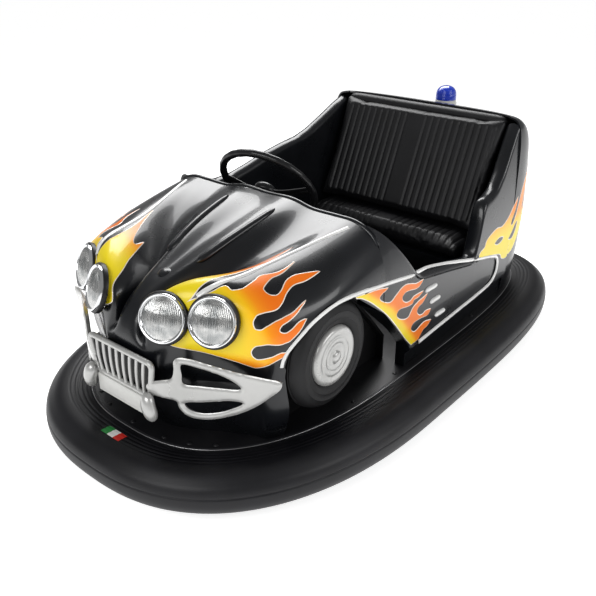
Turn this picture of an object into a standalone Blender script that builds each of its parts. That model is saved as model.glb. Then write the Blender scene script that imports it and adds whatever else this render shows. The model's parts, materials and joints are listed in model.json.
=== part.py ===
"""Two-seat fairground bumper car: a moulded body on a round-cornered deck inside a rubber bumper ring.

Metres, +Z up, floor at z = 0. The car faces -Y and its left side is +X.
The origin is under the middle of the bumper ring.
"""
import math

import bmesh
import bpy
from mathutils import Matrix, Vector

# ------------------------------------------------------------------ driving dimensions
FIT = 0.0003                    # gap between pieces that touch
WIDTH = 1.15                    # over the rubber
LENGTH = 1.987                  # over the rubber
WIDEST_Y = -0.163               # station where the ring is widest
NOSE_ROUNDNESS = 2.45           # exponents of the two half outlines
TAIL_ROUNDNESS = 3.83
RING_STATIONS = 64

RUBBER_BOTTOM = 0.0535
RUBBER_CREASE = 0.144           # height of the outer top edge
RUBBER_CREST = 0.167
RUBBER_LIP = 0.158
RUBBER_DEPTH = 0.138            # from the outside to the inner lip
RIM_WALL = 0.008
RIM_LEDGE = 0.040
RIM_FOOT = 0.066
RIM_LEDGE_TOP = 0.1497
RIM_LEDGE_SHEET = 0.006
DECK_SHEET = 0.008
DECK_TOP = RIM_LEDGE_TOP + FIT + DECK_SHEET
SHELL = 0.006                   # thickness of the moulded body
WALL = 0.050                    # thickness of the cockpit side walls

COWL_Y = -0.268                 # rear edge of the bonnet
TAIL_SPLIT_Y = 0.575            # where side walls meet the tail

HUB_Y = -0.478                  # dummy front wheels
HUB_Z = 0.367
TYRE_R = 0.155
TYRE_MID_X = 0.383
TYRE_WIDTH = 0.075
CAP_R = 0.086
CAP_FACE_X = 0.430
ARCH_R = 0.163
ARCH_FOOT_Y = -0.112            # foot of the sloping rear edge of the wheel opening
ARCH_FRONT_LEAN = 0.035
HOUSE_X = 0.300                 # inner wall of the wheel housing
HOUSE_SHEET = 0.006

LAMP_R = 0.065
LAMP_BUCKET_R = 0.050
LAMP_DEPTH = 0.030
LAMP_TOE = math.radians(22)
LAMP_TILT = math.radians(19)
LAMP_CENTRES = {"inner": Vector((0.130, -0.795, 0.511)), "outer": Vector((0.250, -0.740, 0.520))}

DRIVE_Y = -0.520                # swivelling drive unit under the bonnet
DRIVE_TYRE_R = 0.125
DRIVE_TYRE_WIDTH = 0.060
DRIVE_HUB_R = 0.070
DRIVE_BORE_R = 0.170            # opening in the deck
DRIVE_RING_R = 0.205
DRIVE_RING_HEIGHT = 0.020
TURNTABLE_R = 0.198
TURNTABLE_SHEET = 0.010
CHEEK_SHEET = 0.008
CHEEK_LENGTH = 0.100
CHEEK_TOP = 0.262
MOTOR_SIZE = (0.200, 0.200, 0.115)
AXLE_R = 0.010

REAR_Y = 0.560                  # fixed rear wheels
REAR_TYRE_R = 0.070
REAR_TYRE_WIDTH = 0.045
REAR_HUB_R = 0.040
REAR_WHEEL_X = 0.335
PIN_CLEARANCE = 0.001
AXLE_BLOCK_DROP = 0.018         # how far the axle blocks reach below the rear axle

RAIL_X = 0.250                  # ladder frame under the deck
RAIL_WIDTH = 0.040
RAIL_HEIGHT = 0.048
RAIL_TOP = RIM_LEDGE_TOP - RIM_LEDGE_SHEET - FIT

STEER_CENTRE = Vector((-0.135, -0.118, 0.630))
STEER_FOOT = Vector((-0.070, -0.395, 0.415))
STEER_RIM_R = 0.158
STEER_GRIP_R = 0.0125

SEAT_FRONT_Y = 0.300
SEAT_TOP = 0.415
CUSHION = 0.070
SEAT_HALF = 0.3345
BACK_FOOT = Vector((0.0, 0.400, 0.4345))
BACK_HEAD = Vector((0.0, 0.560, 0.785))
BACK_THICK = 0.045

SEAT_REAR_Y = 0.530
STEER_HUB_DROP = 0.028          # how far the boss sits below the rim's plane
STEER_BOSS_R = 0.038
COLUMN_R = 0.020
DASH_Y = COWL_Y - 0.017
DASH_SHEET = 0.008
PEDAL_SIZE = (0.100, 0.120, 0.010)
PEDAL_PLACE = (-0.120, -0.170)
PEDAL_LIFT = 0.055
PEDAL_RISE = math.radians(38)
BATTERY_SIZE = (0.420, 0.170, 0.140)

LAMP_PROUD = 0.012              # how far the bezel's seat stands off the lamp's centre point
STUD_R = 0.006
# x, height and depth of the studs that carry the trim, on each side
STUDS = {"grille": (0.070, 0.335, 0.050), "plate": (0.070, 0.252, 0.075),
         "blade_inner": (0.190, 0.330, 0.070), "blade_outer": (0.345, 0.362, 0.055)}
GRILLE_TOP = 0.132              # half widths
GRILLE_FOOT = 0.118
GRILLE_Z = (0.288, 0.404)
GRILLE_Y = -0.846
GRILLE_SHEET = 0.014
GRILLE_FRAME = 0.016
GRILLE_BAR = 0.010
GRILLE_SLOTS = 8
PLATE_SIZE = (0.240, 0.056)
PLATE_SHEET = 0.010
PLATE_Z = 0.254
PLATE_Y = -0.852
BLADE_SHEET = 0.014
# outline and holes of a bumper blade in (x, z)
BLADE_OUTLINE = [(0.137, 0.306), (0.178, 0.300), (0.185, 0.280), (0.200, 0.260), (0.225, 0.251), (0.259, 0.253),
                 (0.299, 0.267), (0.334, 0.287), (0.362, 0.309), (0.388, 0.336), (0.414, 0.364), (0.423, 0.384),
                 (0.412, 0.392), (0.373, 0.391), (0.324, 0.397), (0.283, 0.408), (0.242, 0.421), (0.210, 0.429),
                 (0.189, 0.427), (0.180, 0.414), (0.179, 0.390), (0.172, 0.366), (0.137, 0.354)]
BLADE_HOLES = [[(0.206, 0.392), (0.208, 0.353), (0.238, 0.351), (0.308, 0.348), (0.294, 0.363), (0.275, 0.375),
                (0.240, 0.388)],
               [(0.206, 0.298), (0.215, 0.282), (0.245, 0.280), (0.278, 0.289), (0.311, 0.308), (0.290, 0.311),
                (0.245, 0.303)]]
CAP_DRUM_R = 0.055
CAP_STUB_R = 0.030
HOUSE_GROW = 0.004
HOUSE_EDGE_X = 0.330
ROCKER_TOP = 0.228
ROCKER_INSET = 0.018
TAIL_CORNER = 2.7
TAIL_POINTS = 28
BEACON_Y = 0.745
BEACON_R = 0.042
BEACON_FOOT = 0.735
DOME_R = 0.039
BEACON_SEAT = 0.785
TAIL_LAMP_R = 0.032
TAIL_LAMP_PLACE = (0.235, 0.560)

PARTS = "bumper_car"
GUIDES = "cutters"

# ------------------------------------------------------------------ clean start
for old in list(bpy.data.objects):
    bpy.data.objects.remove(old, do_unlink=True)


def collection(name):
    """A new collection linked to the scene."""
    made = bpy.data.collections.new(name)
    bpy.context.scene.collection.children.link(made)
    return made


parts = collection(PARTS)
guides = collection(GUIDES)


def material(name, colour, roughness, metallic=0.0):
    """A Principled finish."""
    made = bpy.data.materials.new(name)
    made.use_nodes = True
    shader = made.node_tree.nodes["Principled BSDF"]
    shader.inputs["Base Color"].default_value = (*colour, 1.0)
    shader.inputs["Roughness"].default_value = roughness
    shader.inputs["Metallic"].default_value = metallic
    return made


GLOSS_BLACK = material("gloss_black_body", (0.012, 0.013, 0.016), 0.12)
RUBBER = material("bumper_rubber", (0.030, 0.031, 0.036), 0.45)
TYRE_RUBBER = material("tyre_rubber", (0.020, 0.020, 0.022), 0.60)
SILVER_PLASTIC = material("silver_trim", (0.66, 0.66, 0.64), 0.35)
CHROME = material("chrome_lamp", (0.80, 0.81, 0.82), 0.12, 1.0)
STEEL = material("painted_steel", (0.05, 0.05, 0.055), 0.50, 0.4)
BARE_STEEL = material("bare_steel", (0.45, 0.45, 0.46), 0.35, 1.0)
DECK_BLACK = material("deck_paint", (0.015, 0.015, 0.017), 0.40)
VINYL = material("black_vinyl", (0.020, 0.020, 0.022), 0.45)
BLUE_LENS = material("blue_lens", (0.02, 0.08, 0.55), 0.10)
RED_LENS = material("red_lens", (0.55, 0.02, 0.02), 0.15)
CREAM_PLASTIC = material("cream_plastic", (0.75, 0.72, 0.58), 0.40)
PLATE_WHITE = material("plate_white", (0.78, 0.78, 0.76), 0.40)
BATTERY_CASE = material("battery_case", (0.06, 0.06, 0.07), 0.60)


# ------------------------------------------------------------------ modelling helpers
def place(name, mesh, finish, group=None):
    """Link a mesh or curve as a named object."""
    made = bpy.data.objects.new(name, mesh)
    (group or parts).objects.link(made)
    if finish:
        mesh.materials.append(finish)
    return made


def as_guide(piece):
    """Hide a cutter from the finished model."""
    piece.hide_render = True
    piece.display_type = "WIRE"
    return piece


def smooth(piece, angle=35):
    """Shade a round piece smooth, with its sharp edges kept."""
    piece.data.shade_smooth()
    piece.data.set_sharp_from_angle(angle=math.radians(angle))
    return piece


def box(name, size, centre, finish=None, group=None):
    """A cuboid."""
    bm = bmesh.new()
    bmesh.ops.create_cube(bm, size=1.0, matrix=Matrix.Diagonal((*size, 1.0)))
    mesh = bpy.data.meshes.new(name)
    bm.to_mesh(mesh)
    bm.free()
    made = place(name, mesh, finish, group)
    made.location = centre
    return made


def rod(name, radius, start, end, finish=None, group=None, sides=24):
    """A closed cylinder between two points."""
    start, end = Vector(start), Vector(end)
    bm = bmesh.new()
    bmesh.ops.create_cone(bm, cap_ends=True, segments=sides, radius1=radius, radius2=radius,
                          depth=(end - start).length)
    mesh = bpy.data.meshes.new(name)
    bm.to_mesh(mesh)
    bm.free()
    made = place(name, mesh, finish, group)
    made.location = (start + end) / 2
    made.rotation_euler = (end - start).to_track_quat("Z", "Y").to_euler()
    return made


def turned(name, profile, finish, steps=40, ring=False, group=None):
    """A solid turned about its own Z from (radius, height) points, outer side first from the top."""
    bm = bmesh.new()
    verts = [bm.verts.new((r, 0.0, h)) for r, h in profile]
    for a, b in zip(verts, verts[1:]):
        bm.edges.new((a, b))
    if ring:
        bm.edges.new((verts[-1], verts[0]))
    mesh = bpy.data.meshes.new(name)
    bm.to_mesh(mesh)
    bm.free()
    made = place(name, mesh, finish, group)
    screw = made.modifiers.new("turn", "SCREW")
    screw.steps = steps
    screw.render_steps = steps
    screw.use_merge_vertices = True
    screw.merge_threshold = 0.0001
    screw.use_smooth_shade = True
    return made


def flat(name, outline, thickness, finish, holes=(), group=None):
    """A flat outline in its own XY plane, with a thickness along Z."""
    curve = bpy.data.curves.new(name, "CURVE")
    curve.dimensions = "2D"
    curve.fill_mode = "BOTH"
    curve.extrude = thickness / 2
    for loop in (outline, *holes):
        spline = curve.splines.new("POLY")
        spline.points.add(len(loop) - 1)
        for point, (x, y) in zip(spline.points, loop):
            point.co = (x, y, 0.0, 1.0)
        spline.use_cyclic_u = True
    return place(name, curve, finish, group)


def as_mesh(curve_piece):
    """Turn a curve object into a welded mesh object of the same name and place."""
    bpy.context.view_layer.update()
    evaluated = curve_piece.evaluated_get(bpy.context.evaluated_depsgraph_get())
    mesh = bpy.data.meshes.new_from_object(evaluated)
    bm = bmesh.new()
    bm.from_mesh(mesh)
    bmesh.ops.remove_doubles(bm, verts=bm.verts, dist=0.00005)
    bmesh.ops.recalc_face_normals(bm, faces=bm.faces)
    bm.to_mesh(mesh)
    bm.free()
    name = curve_piece.name
    groups = list(curve_piece.users_collection)
    world = curve_piece.matrix_world.copy()
    parent = curve_piece.parent
    bpy.data.objects.remove(curve_piece, do_unlink=True)
    made = bpy.data.objects.new(name, mesh)
    groups[0].objects.link(made)
    made.matrix_world = world
    if parent:
        made.parent = parent
        made.matrix_parent_inverse = parent.matrix_world.inverted()
    return made


def on_side(piece, x, y=0.0, z=0.0):
    """Stand a flat piece so that its own X runs along the car and its own Y runs up."""
    piece.rotation_euler = (math.pi / 2, 0.0, math.pi / 2)
    piece.location = (x, y, z)
    return piece


def boolean(piece, other, operation, solver="EXACT"):
    """Cut a cutter out of a piece, or join a shape to it."""
    modifier = piece.modifiers.new(other.name, "BOOLEAN")
    modifier.operation = operation
    modifier.solver = solver
    modifier.object = other
    as_guide(other)
    return piece


def cut(piece, *cutters, solver="EXACT"):
    for cutter in cutters:
        boolean(piece, cutter, "DIFFERENCE", solver)
    return piece


def join(piece, *shapes):
    for shape in shapes:
        boolean(piece, shape, "UNION")
    return piece


def bevel(piece, width, segments=2):
    """Round the sharp edges of a piece."""
    modifier = piece.modifiers.new("rounded", "BEVEL")
    modifier.width = width
    modifier.segments = segments
    modifier.limit_method = "ANGLE"
    return piece


def axis_empty(name, place_at, along=(0.0, 0.0, 1.0)):
    """An empty on a joint's axis, with its own Z along that axis."""
    made = bpy.data.objects.new(name, None)
    parts.objects.link(made)
    made.location = place_at
    made.rotation_euler = Vector(along).to_track_quat("Z", "Y").to_euler()
    bpy.context.view_layer.update()
    return made


def hang(piece, parent):
    """Parent a piece and keep it where it is."""
    bpy.context.view_layer.update()
    piece.parent = parent
    piece.matrix_parent_inverse = parent.matrix_world.inverted()
    return piece


def smooth_line(points, steps):
    """Points on a smooth curve through the given ones, with that many steps between each two."""
    points = [Vector(p) for p in points]
    ends = [2 * points[0] - points[1], *points, 2 * points[-1] - points[-2]]
    line = []
    for before, a, b, after in zip(ends, ends[1:], ends[2:], ends[3:]):
        for step in range(steps):
            t = step / steps
            line.append(0.5 * (2 * a + (b - before) * t + (2 * before - 5 * a + 4 * b - after) * t ** 2
                               + (3 * a - before - 3 * b + after) * t ** 3))
    return line + [points[-1]]


def grid(rows):
    """A bmesh sheet through rows of points."""
    bm = bmesh.new()
    verts = [[bm.verts.new(p) for p in row] for row in rows]
    for low, high in zip(verts, verts[1:]):
        for a, b, c, d in zip(low, low[1:], high[1:], high):
            bm.faces.new((a, b, c, d))
    return bm


def loft(name, sections, finish, group=None):
    """A closed solid through closed sections that have the same number of points."""
    bm = bmesh.new()
    loops = [[bm.verts.new(p) for p in section] for section in sections]
    count = len(sections[0])
    for low, high in zip(loops, loops[1:]):
        for i in range(count):
            j = (i + 1) % count
            bm.faces.new((low[i], low[j], high[j], high[i]))
    bm.faces.new(list(reversed(loops[0])))
    bm.faces.new(loops[-1])
    bmesh.ops.recalc_face_normals(bm, faces=bm.faces)
    mesh = bpy.data.meshes.new(name)
    bm.to_mesh(mesh)
    bm.free()
    return place(name, mesh, finish, group)


def between(table, value):
    """Straight interpolation in a table of (value, result) pairs."""
    if value <= table[0][0]:
        return table[0][1]
    for (x0, y0), (x1, y1) in zip(table, table[1:]):
        if value <= x1:
            return y0 + (y1 - y0) * (value - x0) / (x1 - x0)
    return table[-1][1]


# ------------------------------------------------------------------ bumper ring, rim, deck and frame
def ring_outline(inset=0.0, count=RING_STATIONS):
    """The plan outline of the ring, moved inwards by an inset."""
    outline = []
    for k in range(count):
        angle = 2 * math.pi * k / count
        front = math.sin(angle) < 0
        reach = (WIDEST_Y + LENGTH / 2) if front else (LENGTH / 2 - WIDEST_Y)
        power = 2 / (NOSE_ROUNDNESS if front else TAIL_ROUNDNESS)
        across = math.copysign(abs(math.cos(angle)) ** power, math.cos(angle)) * WIDTH / 2
        along = WIDEST_Y + math.copysign(abs(math.sin(angle)) ** power, math.sin(angle)) * reach
        outline.append(Vector((across, along)))
    moved = []
    for before, here, after in zip(outline[-1:] + outline[:-1], outline, outline[1:] + outline[:1]):
        way = (after - before).normalized()
        moved.append(here + Vector((-way.y, way.x)) * inset)
    return moved


def swept_ring(name, section, finish):
    """A closed section of (inset, height) points carried once round the ring outline."""
    count = RING_STATIONS
    loops = [[Vector((*p, height)) for p in ring_outline(inset, count)] for inset, height in section]
    bm = bmesh.new()
    verts = [[bm.verts.new(p) for p in loop] for loop in loops]
    for low, high in zip(verts, verts[1:] + verts[:1]):
        for i in range(count):
            j = (i + 1) % count
            bm.faces.new((low[i], low[j], high[j], high[i]))
    bmesh.ops.recalc_face_normals(bm, faces=bm.faces)
    mesh = bpy.data.meshes.new(name)
    bm.to_mesh(mesh)
    bm.free()
    return smooth(place(name, mesh, finish))


def rubber_section():
    """The bumper's section, from the inner lip over the crest and down the outside."""
    return [(RUBBER_DEPTH, RUBBER_LIP), (0.115, 0.1635), (0.080, RUBBER_CREST), (0.045, 0.1630),
            (0.018, RUBBER_CREASE), (0.006, 0.128), (0.0, 0.105), (0.002, 0.080), (0.012, 0.060),
            (0.030, RUBBER_BOTTOM), (0.090, 0.056), (RUBBER_DEPTH, 0.064)]


def chassis_ring():
    swept_ring("bumper_tube", rubber_section(), RUBBER)
    outer = RUBBER_DEPTH + FIT
    inner = outer + RIM_WALL
    ledge = inner + RIM_LEDGE
    swept_ring("bumper_rim", [(outer, RUBBER_LIP), (inner, RUBBER_LIP), (inner, RIM_LEDGE_TOP),
                              (ledge, RIM_LEDGE_TOP), (ledge, RIM_LEDGE_TOP - RIM_LEDGE_SHEET),
                              (inner, RIM_LEDGE_TOP - RIM_LEDGE_SHEET), (inner, RIM_FOOT), (outer, RIM_FOOT)], STEEL)


def deck():
    outline = ring_outline(RUBBER_DEPTH + RIM_WALL + 2 * FIT)
    pan = as_mesh(flat("floor_pan", outline, DECK_SHEET, DECK_BLACK))
    pan.location = (0.0, 0.0, DECK_TOP - DECK_SHEET / 2)
    hole = rod("drive_bore_cutter", DRIVE_BORE_R, (0, DRIVE_Y, DECK_TOP - 0.05), (0, DRIVE_Y, DECK_TOP + 0.05),
               group=guides, sides=48)
    cut(pan, hole)


def ladder_frame():
    """Two rails and their cross members, cut from one outline."""
    half = RAIL_X + RAIL_WIDTH / 2
    inside = RAIL_X - RAIL_WIDTH / 2
    reach_front = -0.745
    reach_rear = 0.760
    outline = [(-half, reach_front), (half, reach_front), (half, reach_rear), (-half, reach_rear)]
    bays = [(reach_front + RAIL_WIDTH, DRIVE_Y + DRIVE_RING_R + 0.01),
            (DRIVE_Y + DRIVE_RING_R + 0.01 + RAIL_WIDTH, 0.200),
            (0.200 + RAIL_WIDTH, REAR_Y - 0.060),
            (REAR_Y + 0.060, reach_rear - RAIL_WIDTH)]
    holes = [[(-inside, y0), (inside, y0), (inside, y1), (-inside, y1)] for y0, y1 in bays]
    frame = as_mesh(flat("chassis_frame", outline, RAIL_HEIGHT, STEEL, holes))
    frame.location = (0.0, 0.0, RAIL_TOP - RAIL_HEIGHT / 2)
    # outriggers reach under the rim's ledge
    for side in (-1, 1):
        for index, y in enumerate((-0.30, 0.22, 0.40)):
            reach = half_width_at(y) - (RUBBER_DEPTH + RIM_WALL + 0.004)
            arm = box(f"outrigger_{side}_{index}", (reach - half + 0.01, RAIL_WIDTH, RAIL_HEIGHT),
                      (side * (reach + half - 0.01) / 2, y, RAIL_TOP - RAIL_HEIGHT / 2), group=guides)
            join(frame, arm)


def half_width_at(y):
    """Half the ring's width at a station."""
    front = y < WIDEST_Y
    reach = (WIDEST_Y + LENGTH / 2) if front else (LENGTH / 2 - WIDEST_Y)
    power = NOSE_ROUNDNESS if front else TAIL_ROUNDNESS
    return WIDTH / 2 * (1 - (abs(y - WIDEST_Y) / reach) ** power) ** (1 / power)


# ------------------------------------------------------------------ front body
# Stations from the cowl over the bonnet to the foot of the nose. Each gives one point (x, y, z) on
# every line of the left half: centre, rib, trough, pod_side, pod_top, shoulder, side_high, side_mid,
# side_low.
FRONT_STATIONS = [
    [(0, -0.235, 0.678), (0.093, -0.235, 0.679), (0.17, -0.235, 0.668), (0.26, -0.235, 0.668),
     (0.325, -0.235, 0.664), (0.375, -0.235, 0.640), (0.408, -0.235, 0.590), (0.427, -0.235, 0.520),
     (0.432, -0.235, 0.380)],
    [(0, -0.36, 0.650), (0.091, -0.36, 0.657), (0.165, -0.36, 0.637), (0.24, -0.36, 0.638),
     (0.303, -0.36, 0.643), (0.365, -0.36, 0.625), (0.405, -0.36, 0.582), (0.427, -0.36, 0.525),
     (0.435, -0.36, 0.400)],
    [(0, -0.50, 0.610), (0.079, -0.50, 0.621), (0.143, -0.50, 0.585), (0.20, -0.50, 0.590),
     (0.268, -0.50, 0.618), (0.345, -0.50, 0.605), (0.395, -0.50, 0.565), (0.424, -0.50, 0.515),
     (0.434, -0.50, 0.400)],
    [(0, -0.62, 0.572), (0.058, -0.62, 0.578), (0.098, -0.62, 0.525), (0.140, -0.62, 0.545),
     (0.212, -0.62, 0.600), (0.300, -0.61, 0.595), (0.362, -0.60, 0.558), (0.404, -0.59, 0.500),
     (0.426, -0.56, 0.400)],
    [(0, -0.72, 0.540), (0.042, -0.72, 0.538), (0.064, -0.705, 0.480), (0.078, -0.715, 0.525),
     (0.145, -0.725, 0.592), (0.245, -0.690, 0.596), (0.325, -0.665, 0.560), (0.382, -0.650, 0.485),
     (0.418, -0.57, 0.390)],
    [(0, -0.79, 0.498), (0.036, -0.788, 0.494), (0.053, -0.765, 0.455), (0.062, -0.795, 0.515),
     (0.125, -0.782, 0.560), (0.245, -0.728, 0.566), (0.328, -0.690, 0.535), (0.380, -0.665, 0.455),
     (0.414, -0.57, 0.370)],
    [(0, -0.822, 0.448), (0.035, -0.820, 0.446), (0.055, -0.805, 0.437), (0.070, -0.812, 0.460),
     (0.138, -0.798, 0.470), (0.252, -0.745, 0.478), (0.328, -0.700, 0.460), (0.378, -0.668, 0.410),
     (0.412, -0.57, 0.330)],
    [(0, -0.830, 0.395), (0.045, -0.829, 0.395), (0.080, -0.826, 0.395), (0.105, -0.815, 0.400),
     (0.155, -0.790, 0.405), (0.245, -0.745, 0.405), (0.320, -0.700, 0.395), (0.374, -0.668, 0.350),
     (0.408, -0.57, 0.290)],
    [(0, -0.812, 0.290), (0.045, -0.811, 0.290), (0.085, -0.808, 0.290), (0.120, -0.795, 0.290),
     (0.170, -0.770, 0.290), (0.245, -0.728, 0.290), (0.315, -0.690, 0.285), (0.368, -0.665, 0.260),
     (0.402, -0.57, 0.230)],
    [(0, -0.775, 0.140), (0.045, -0.774, 0.140), (0.085, -0.770, 0.140), (0.125, -0.757, 0.140),
     (0.175, -0.728, 0.140), (0.235, -0.690, 0.140), (0.290, -0.660, 0.140), (0.330, -0.645, 0.140),
     (0.362, -0.57, 0.140)],
]


def lamp_axis(side):
    """The way a headlamp on one side looks."""
    return Vector((side * math.sin(LAMP_TOE) * math.cos(LAMP_TILT), -math.cos(LAMP_TOE) * math.cos(LAMP_TILT),
                   math.sin(LAMP_TILT)))


def wheel_opening(grow=0.0):
    """Outline of the wheel opening in (y, z): a round arch with a long sloping rear edge."""
    radius = ARCH_R + grow
    arc = [(HUB_Y - radius * math.cos(math.radians(a)), HUB_Z + radius * math.sin(math.radians(a)))
           for a in range(0, 133, 11)]
    below = DECK_TOP - 0.02
    foot = ARCH_FOOT_Y + grow
    slope = [(foot - 0.150, 0.408 + grow), (foot - 0.066, 0.315 + grow)]
    return [(HUB_Y - radius + ARCH_FRONT_LEAN, below), *arc, *slope, (foot, 0.236 + grow), (foot, below)]


def front_lines(across=2, along=2):
    """The left half of the front surface as lines that run from the cowl to the foot of the nose."""
    rows = [smooth_line(station, across) for station in FRONT_STATIONS]
    lines = [smooth_line(column, along) for column in zip(*rows)]
    for point in lines[0]:
        point.x = 0.0
    return lines


def point_at_y(line, y):
    """Where a line that runs forwards crosses a station."""
    for a, b in zip(line, line[1:]):
        if b.y <= y <= a.y:
            return a.lerp(b, (a.y - y) / (a.y - b.y))
    return line[0]


def opening_cutter(side, owner, grow=0.0, x_from=0.28, x_to=0.60):
    """A prism through one side of the body, in the shape of the wheel opening."""
    prism = flat(f"{owner}_opening_{side}", wheel_opening(grow), x_to - x_from, None, group=guides)
    return as_mesh(on_side(prism, side * (x_from + x_to) / 2))


def front_body():
    mesh = bpy.data.meshes.new("front_body")
    bm = grid(front_lines())
    bm.to_mesh(mesh)
    bm.free()
    body = place("front_body", mesh, GLOSS_BLACK)
    halves = body.modifiers.new("halves", "MIRROR")
    halves.merge_threshold = 0.0001
    shell = body.modifiers.new("shell", "SOLIDIFY")
    shell.thickness = SHELL
    shell.offset = -1.0
    behind_cowl = box("cowl_cutter", (1.2, 0.2, 1.0), (0, COWL_Y + 0.1, 0.5), group=guides)
    under_deck = box("deck_cutter", (1.2, 1.2, 0.2), (0, -0.6, DECK_TOP + FIT - 0.1), group=guides)
    cut(body, behind_cowl, under_deck, solver="MANIFOLD")
    for side in (-1, 1):
        cut(body, opening_cutter(side, "front"), solver="MANIFOLD")
        for which, centre in LAMP_CENTRES.items():
            middle = Vector((side * centre.x, centre.y, centre.z))
            look = lamp_axis(side)
            cut(body, rod(f"lamp_cutter_{which}_{side}", LAMP_BUCKET_R + FIT, middle - look * LAMP_DEPTH,
                          middle + look * 0.05, group=guides), solver="MANIFOLD")
        for which, (x, z, _) in STUDS.items():
            cut(body, rod(f"{which}_stud_cutter_{side}", STUD_R + FIT, (side * x, -0.95, z),
                          (side * x, -0.60, z), group=guides, sides=12), solver="MANIFOLD")
    return body


def front_trim():
    """Headlamps, grille, number plate and the two bumper blades, each on studs through the shell."""
    for side, hand in ((-1, "right"), (1, "left")):
        look = lamp_axis(side)
        for which, centre in LAMP_CENTRES.items():
            lamp = turned(f"headlamp_{which}_{hand}", [
                (0.0, 0.016), (0.020, 0.015), (0.040, 0.011), (0.053, 0.006), (0.058, 0.008), (LAMP_R, 0.002),
                (LAMP_R, -0.004), (LAMP_BUCKET_R, -0.006), (LAMP_BUCKET_R, 0.002 - LAMP_DEPTH),
                (0.0, 0.002 - LAMP_DEPTH)], CHROME, steps=24)
            lamp.location = (side * centre.x, centre.y, centre.z)
            lamp.rotation_euler = look.to_track_quat("Z", "Y").to_euler()
            lamp.location += look * LAMP_PROUD
        blade = flat(f"front_bumper_{hand}", [(side * x, z) for x, z in BLADE_OUTLINE], BLADE_SHEET,
                     SILVER_PLASTIC, [[(side * x, z) for x, z in hole] for hole in BLADE_HOLES])
        blade.rotation_euler = (math.pi / 2, 0.0, 0.0)
        blade = as_mesh(blade)
        wrap_to_nose(blade)
        for which in ("blade_inner", "blade_outer"):
            x, z, depth = STUDS[which]
            root = blade_y(x) - BLADE_SHEET / 2
            boolean(blade, rod(f"{which}_stud_{side}", STUD_R, (side * x, root, z), (side * x, root + depth, z),
                               group=guides, sides=12), "UNION", "MANIFOLD")
    grille = as_mesh(stand_facing_front(flat("grille", rounded(GRILLE_TOP, GRILLE_FOOT, GRILLE_Z), GRILLE_SHEET,
                                             SILVER_PLASTIC, grille_slots()), GRILLE_Y))
    plate = box("number_plate", (PLATE_SIZE[0], PLATE_SHEET, PLATE_SIZE[1]), (0, PLATE_Y, PLATE_Z), PLATE_WHITE)
    for piece, which, y in ((grille, "grille", GRILLE_Y), (plate, "plate", PLATE_Y)):
        x, z, depth = STUDS[which]
        for side in (-1, 1):
            join(piece, rod(f"{which}_stud_{side}", STUD_R, (side * x, y, z), (side * x, y + depth, z),
                            group=guides, sides=12))


def stand_facing_front(piece, y):
    """Stand a flat piece upright across the car."""
    piece.rotation_euler = (math.pi / 2, 0.0, 0.0)
    piece.location = (0.0, y, 0.0)
    return piece


def rounded(half_top, half_foot, heights, corner=0.018, steps=4):
    """A trapezoid with round corners, from (half width at the top, at the foot) and (foot, top) heights."""
    foot, top = heights
    corners = [(half_foot, foot, -90), (half_top, top, 0), (-half_top, top, 90), (-half_foot, foot, 180)]
    outline = []
    for x, z, start in corners:
        middle = (x - math.copysign(corner, x), z + (corner if z == foot else -corner))
        for k in range(steps + 1):
            angle = math.radians(start + 90 * k / steps)
            outline.append((middle[0] + corner * math.cos(angle), middle[1] + corner * math.sin(angle)))
    return outline


def grille_slots():
    """The gaps between the upright bars."""
    inside = GRILLE_FOOT - GRILLE_FRAME
    pitch = 2 * inside / GRILLE_SLOTS
    low, high = GRILLE_Z[0] + GRILLE_FRAME, GRILLE_Z[1] - GRILLE_FRAME
    slots = []
    for k in range(GRILLE_SLOTS):
        middle = -inside + pitch * (k + 0.5)
        half = pitch / 2 - GRILLE_BAR / 2
        slots.append([(middle - half, low), (middle + half, low), (middle + half, high), (middle - half, high)])
    return slots


def blade_y(x):
    """How far forward the inner face of a bumper blade lies at a distance from the middle."""
    return between([(0.10, -0.845), (0.155, -0.825), (0.20, -0.800), (0.245, -0.772), (0.32, -0.723),
                    (0.37, -0.695), (0.42, -0.680)], abs(x))


def wrap_to_nose(piece):
    """Carry a flat blade round the nose."""
    world = piece.matrix_world
    back = world.inverted()
    for vertex in piece.data.vertices:
        point = world @ vertex.co
        point.y += blade_y(point.x) - BLADE_SHEET / 2
        vertex.co = back @ point


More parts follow.
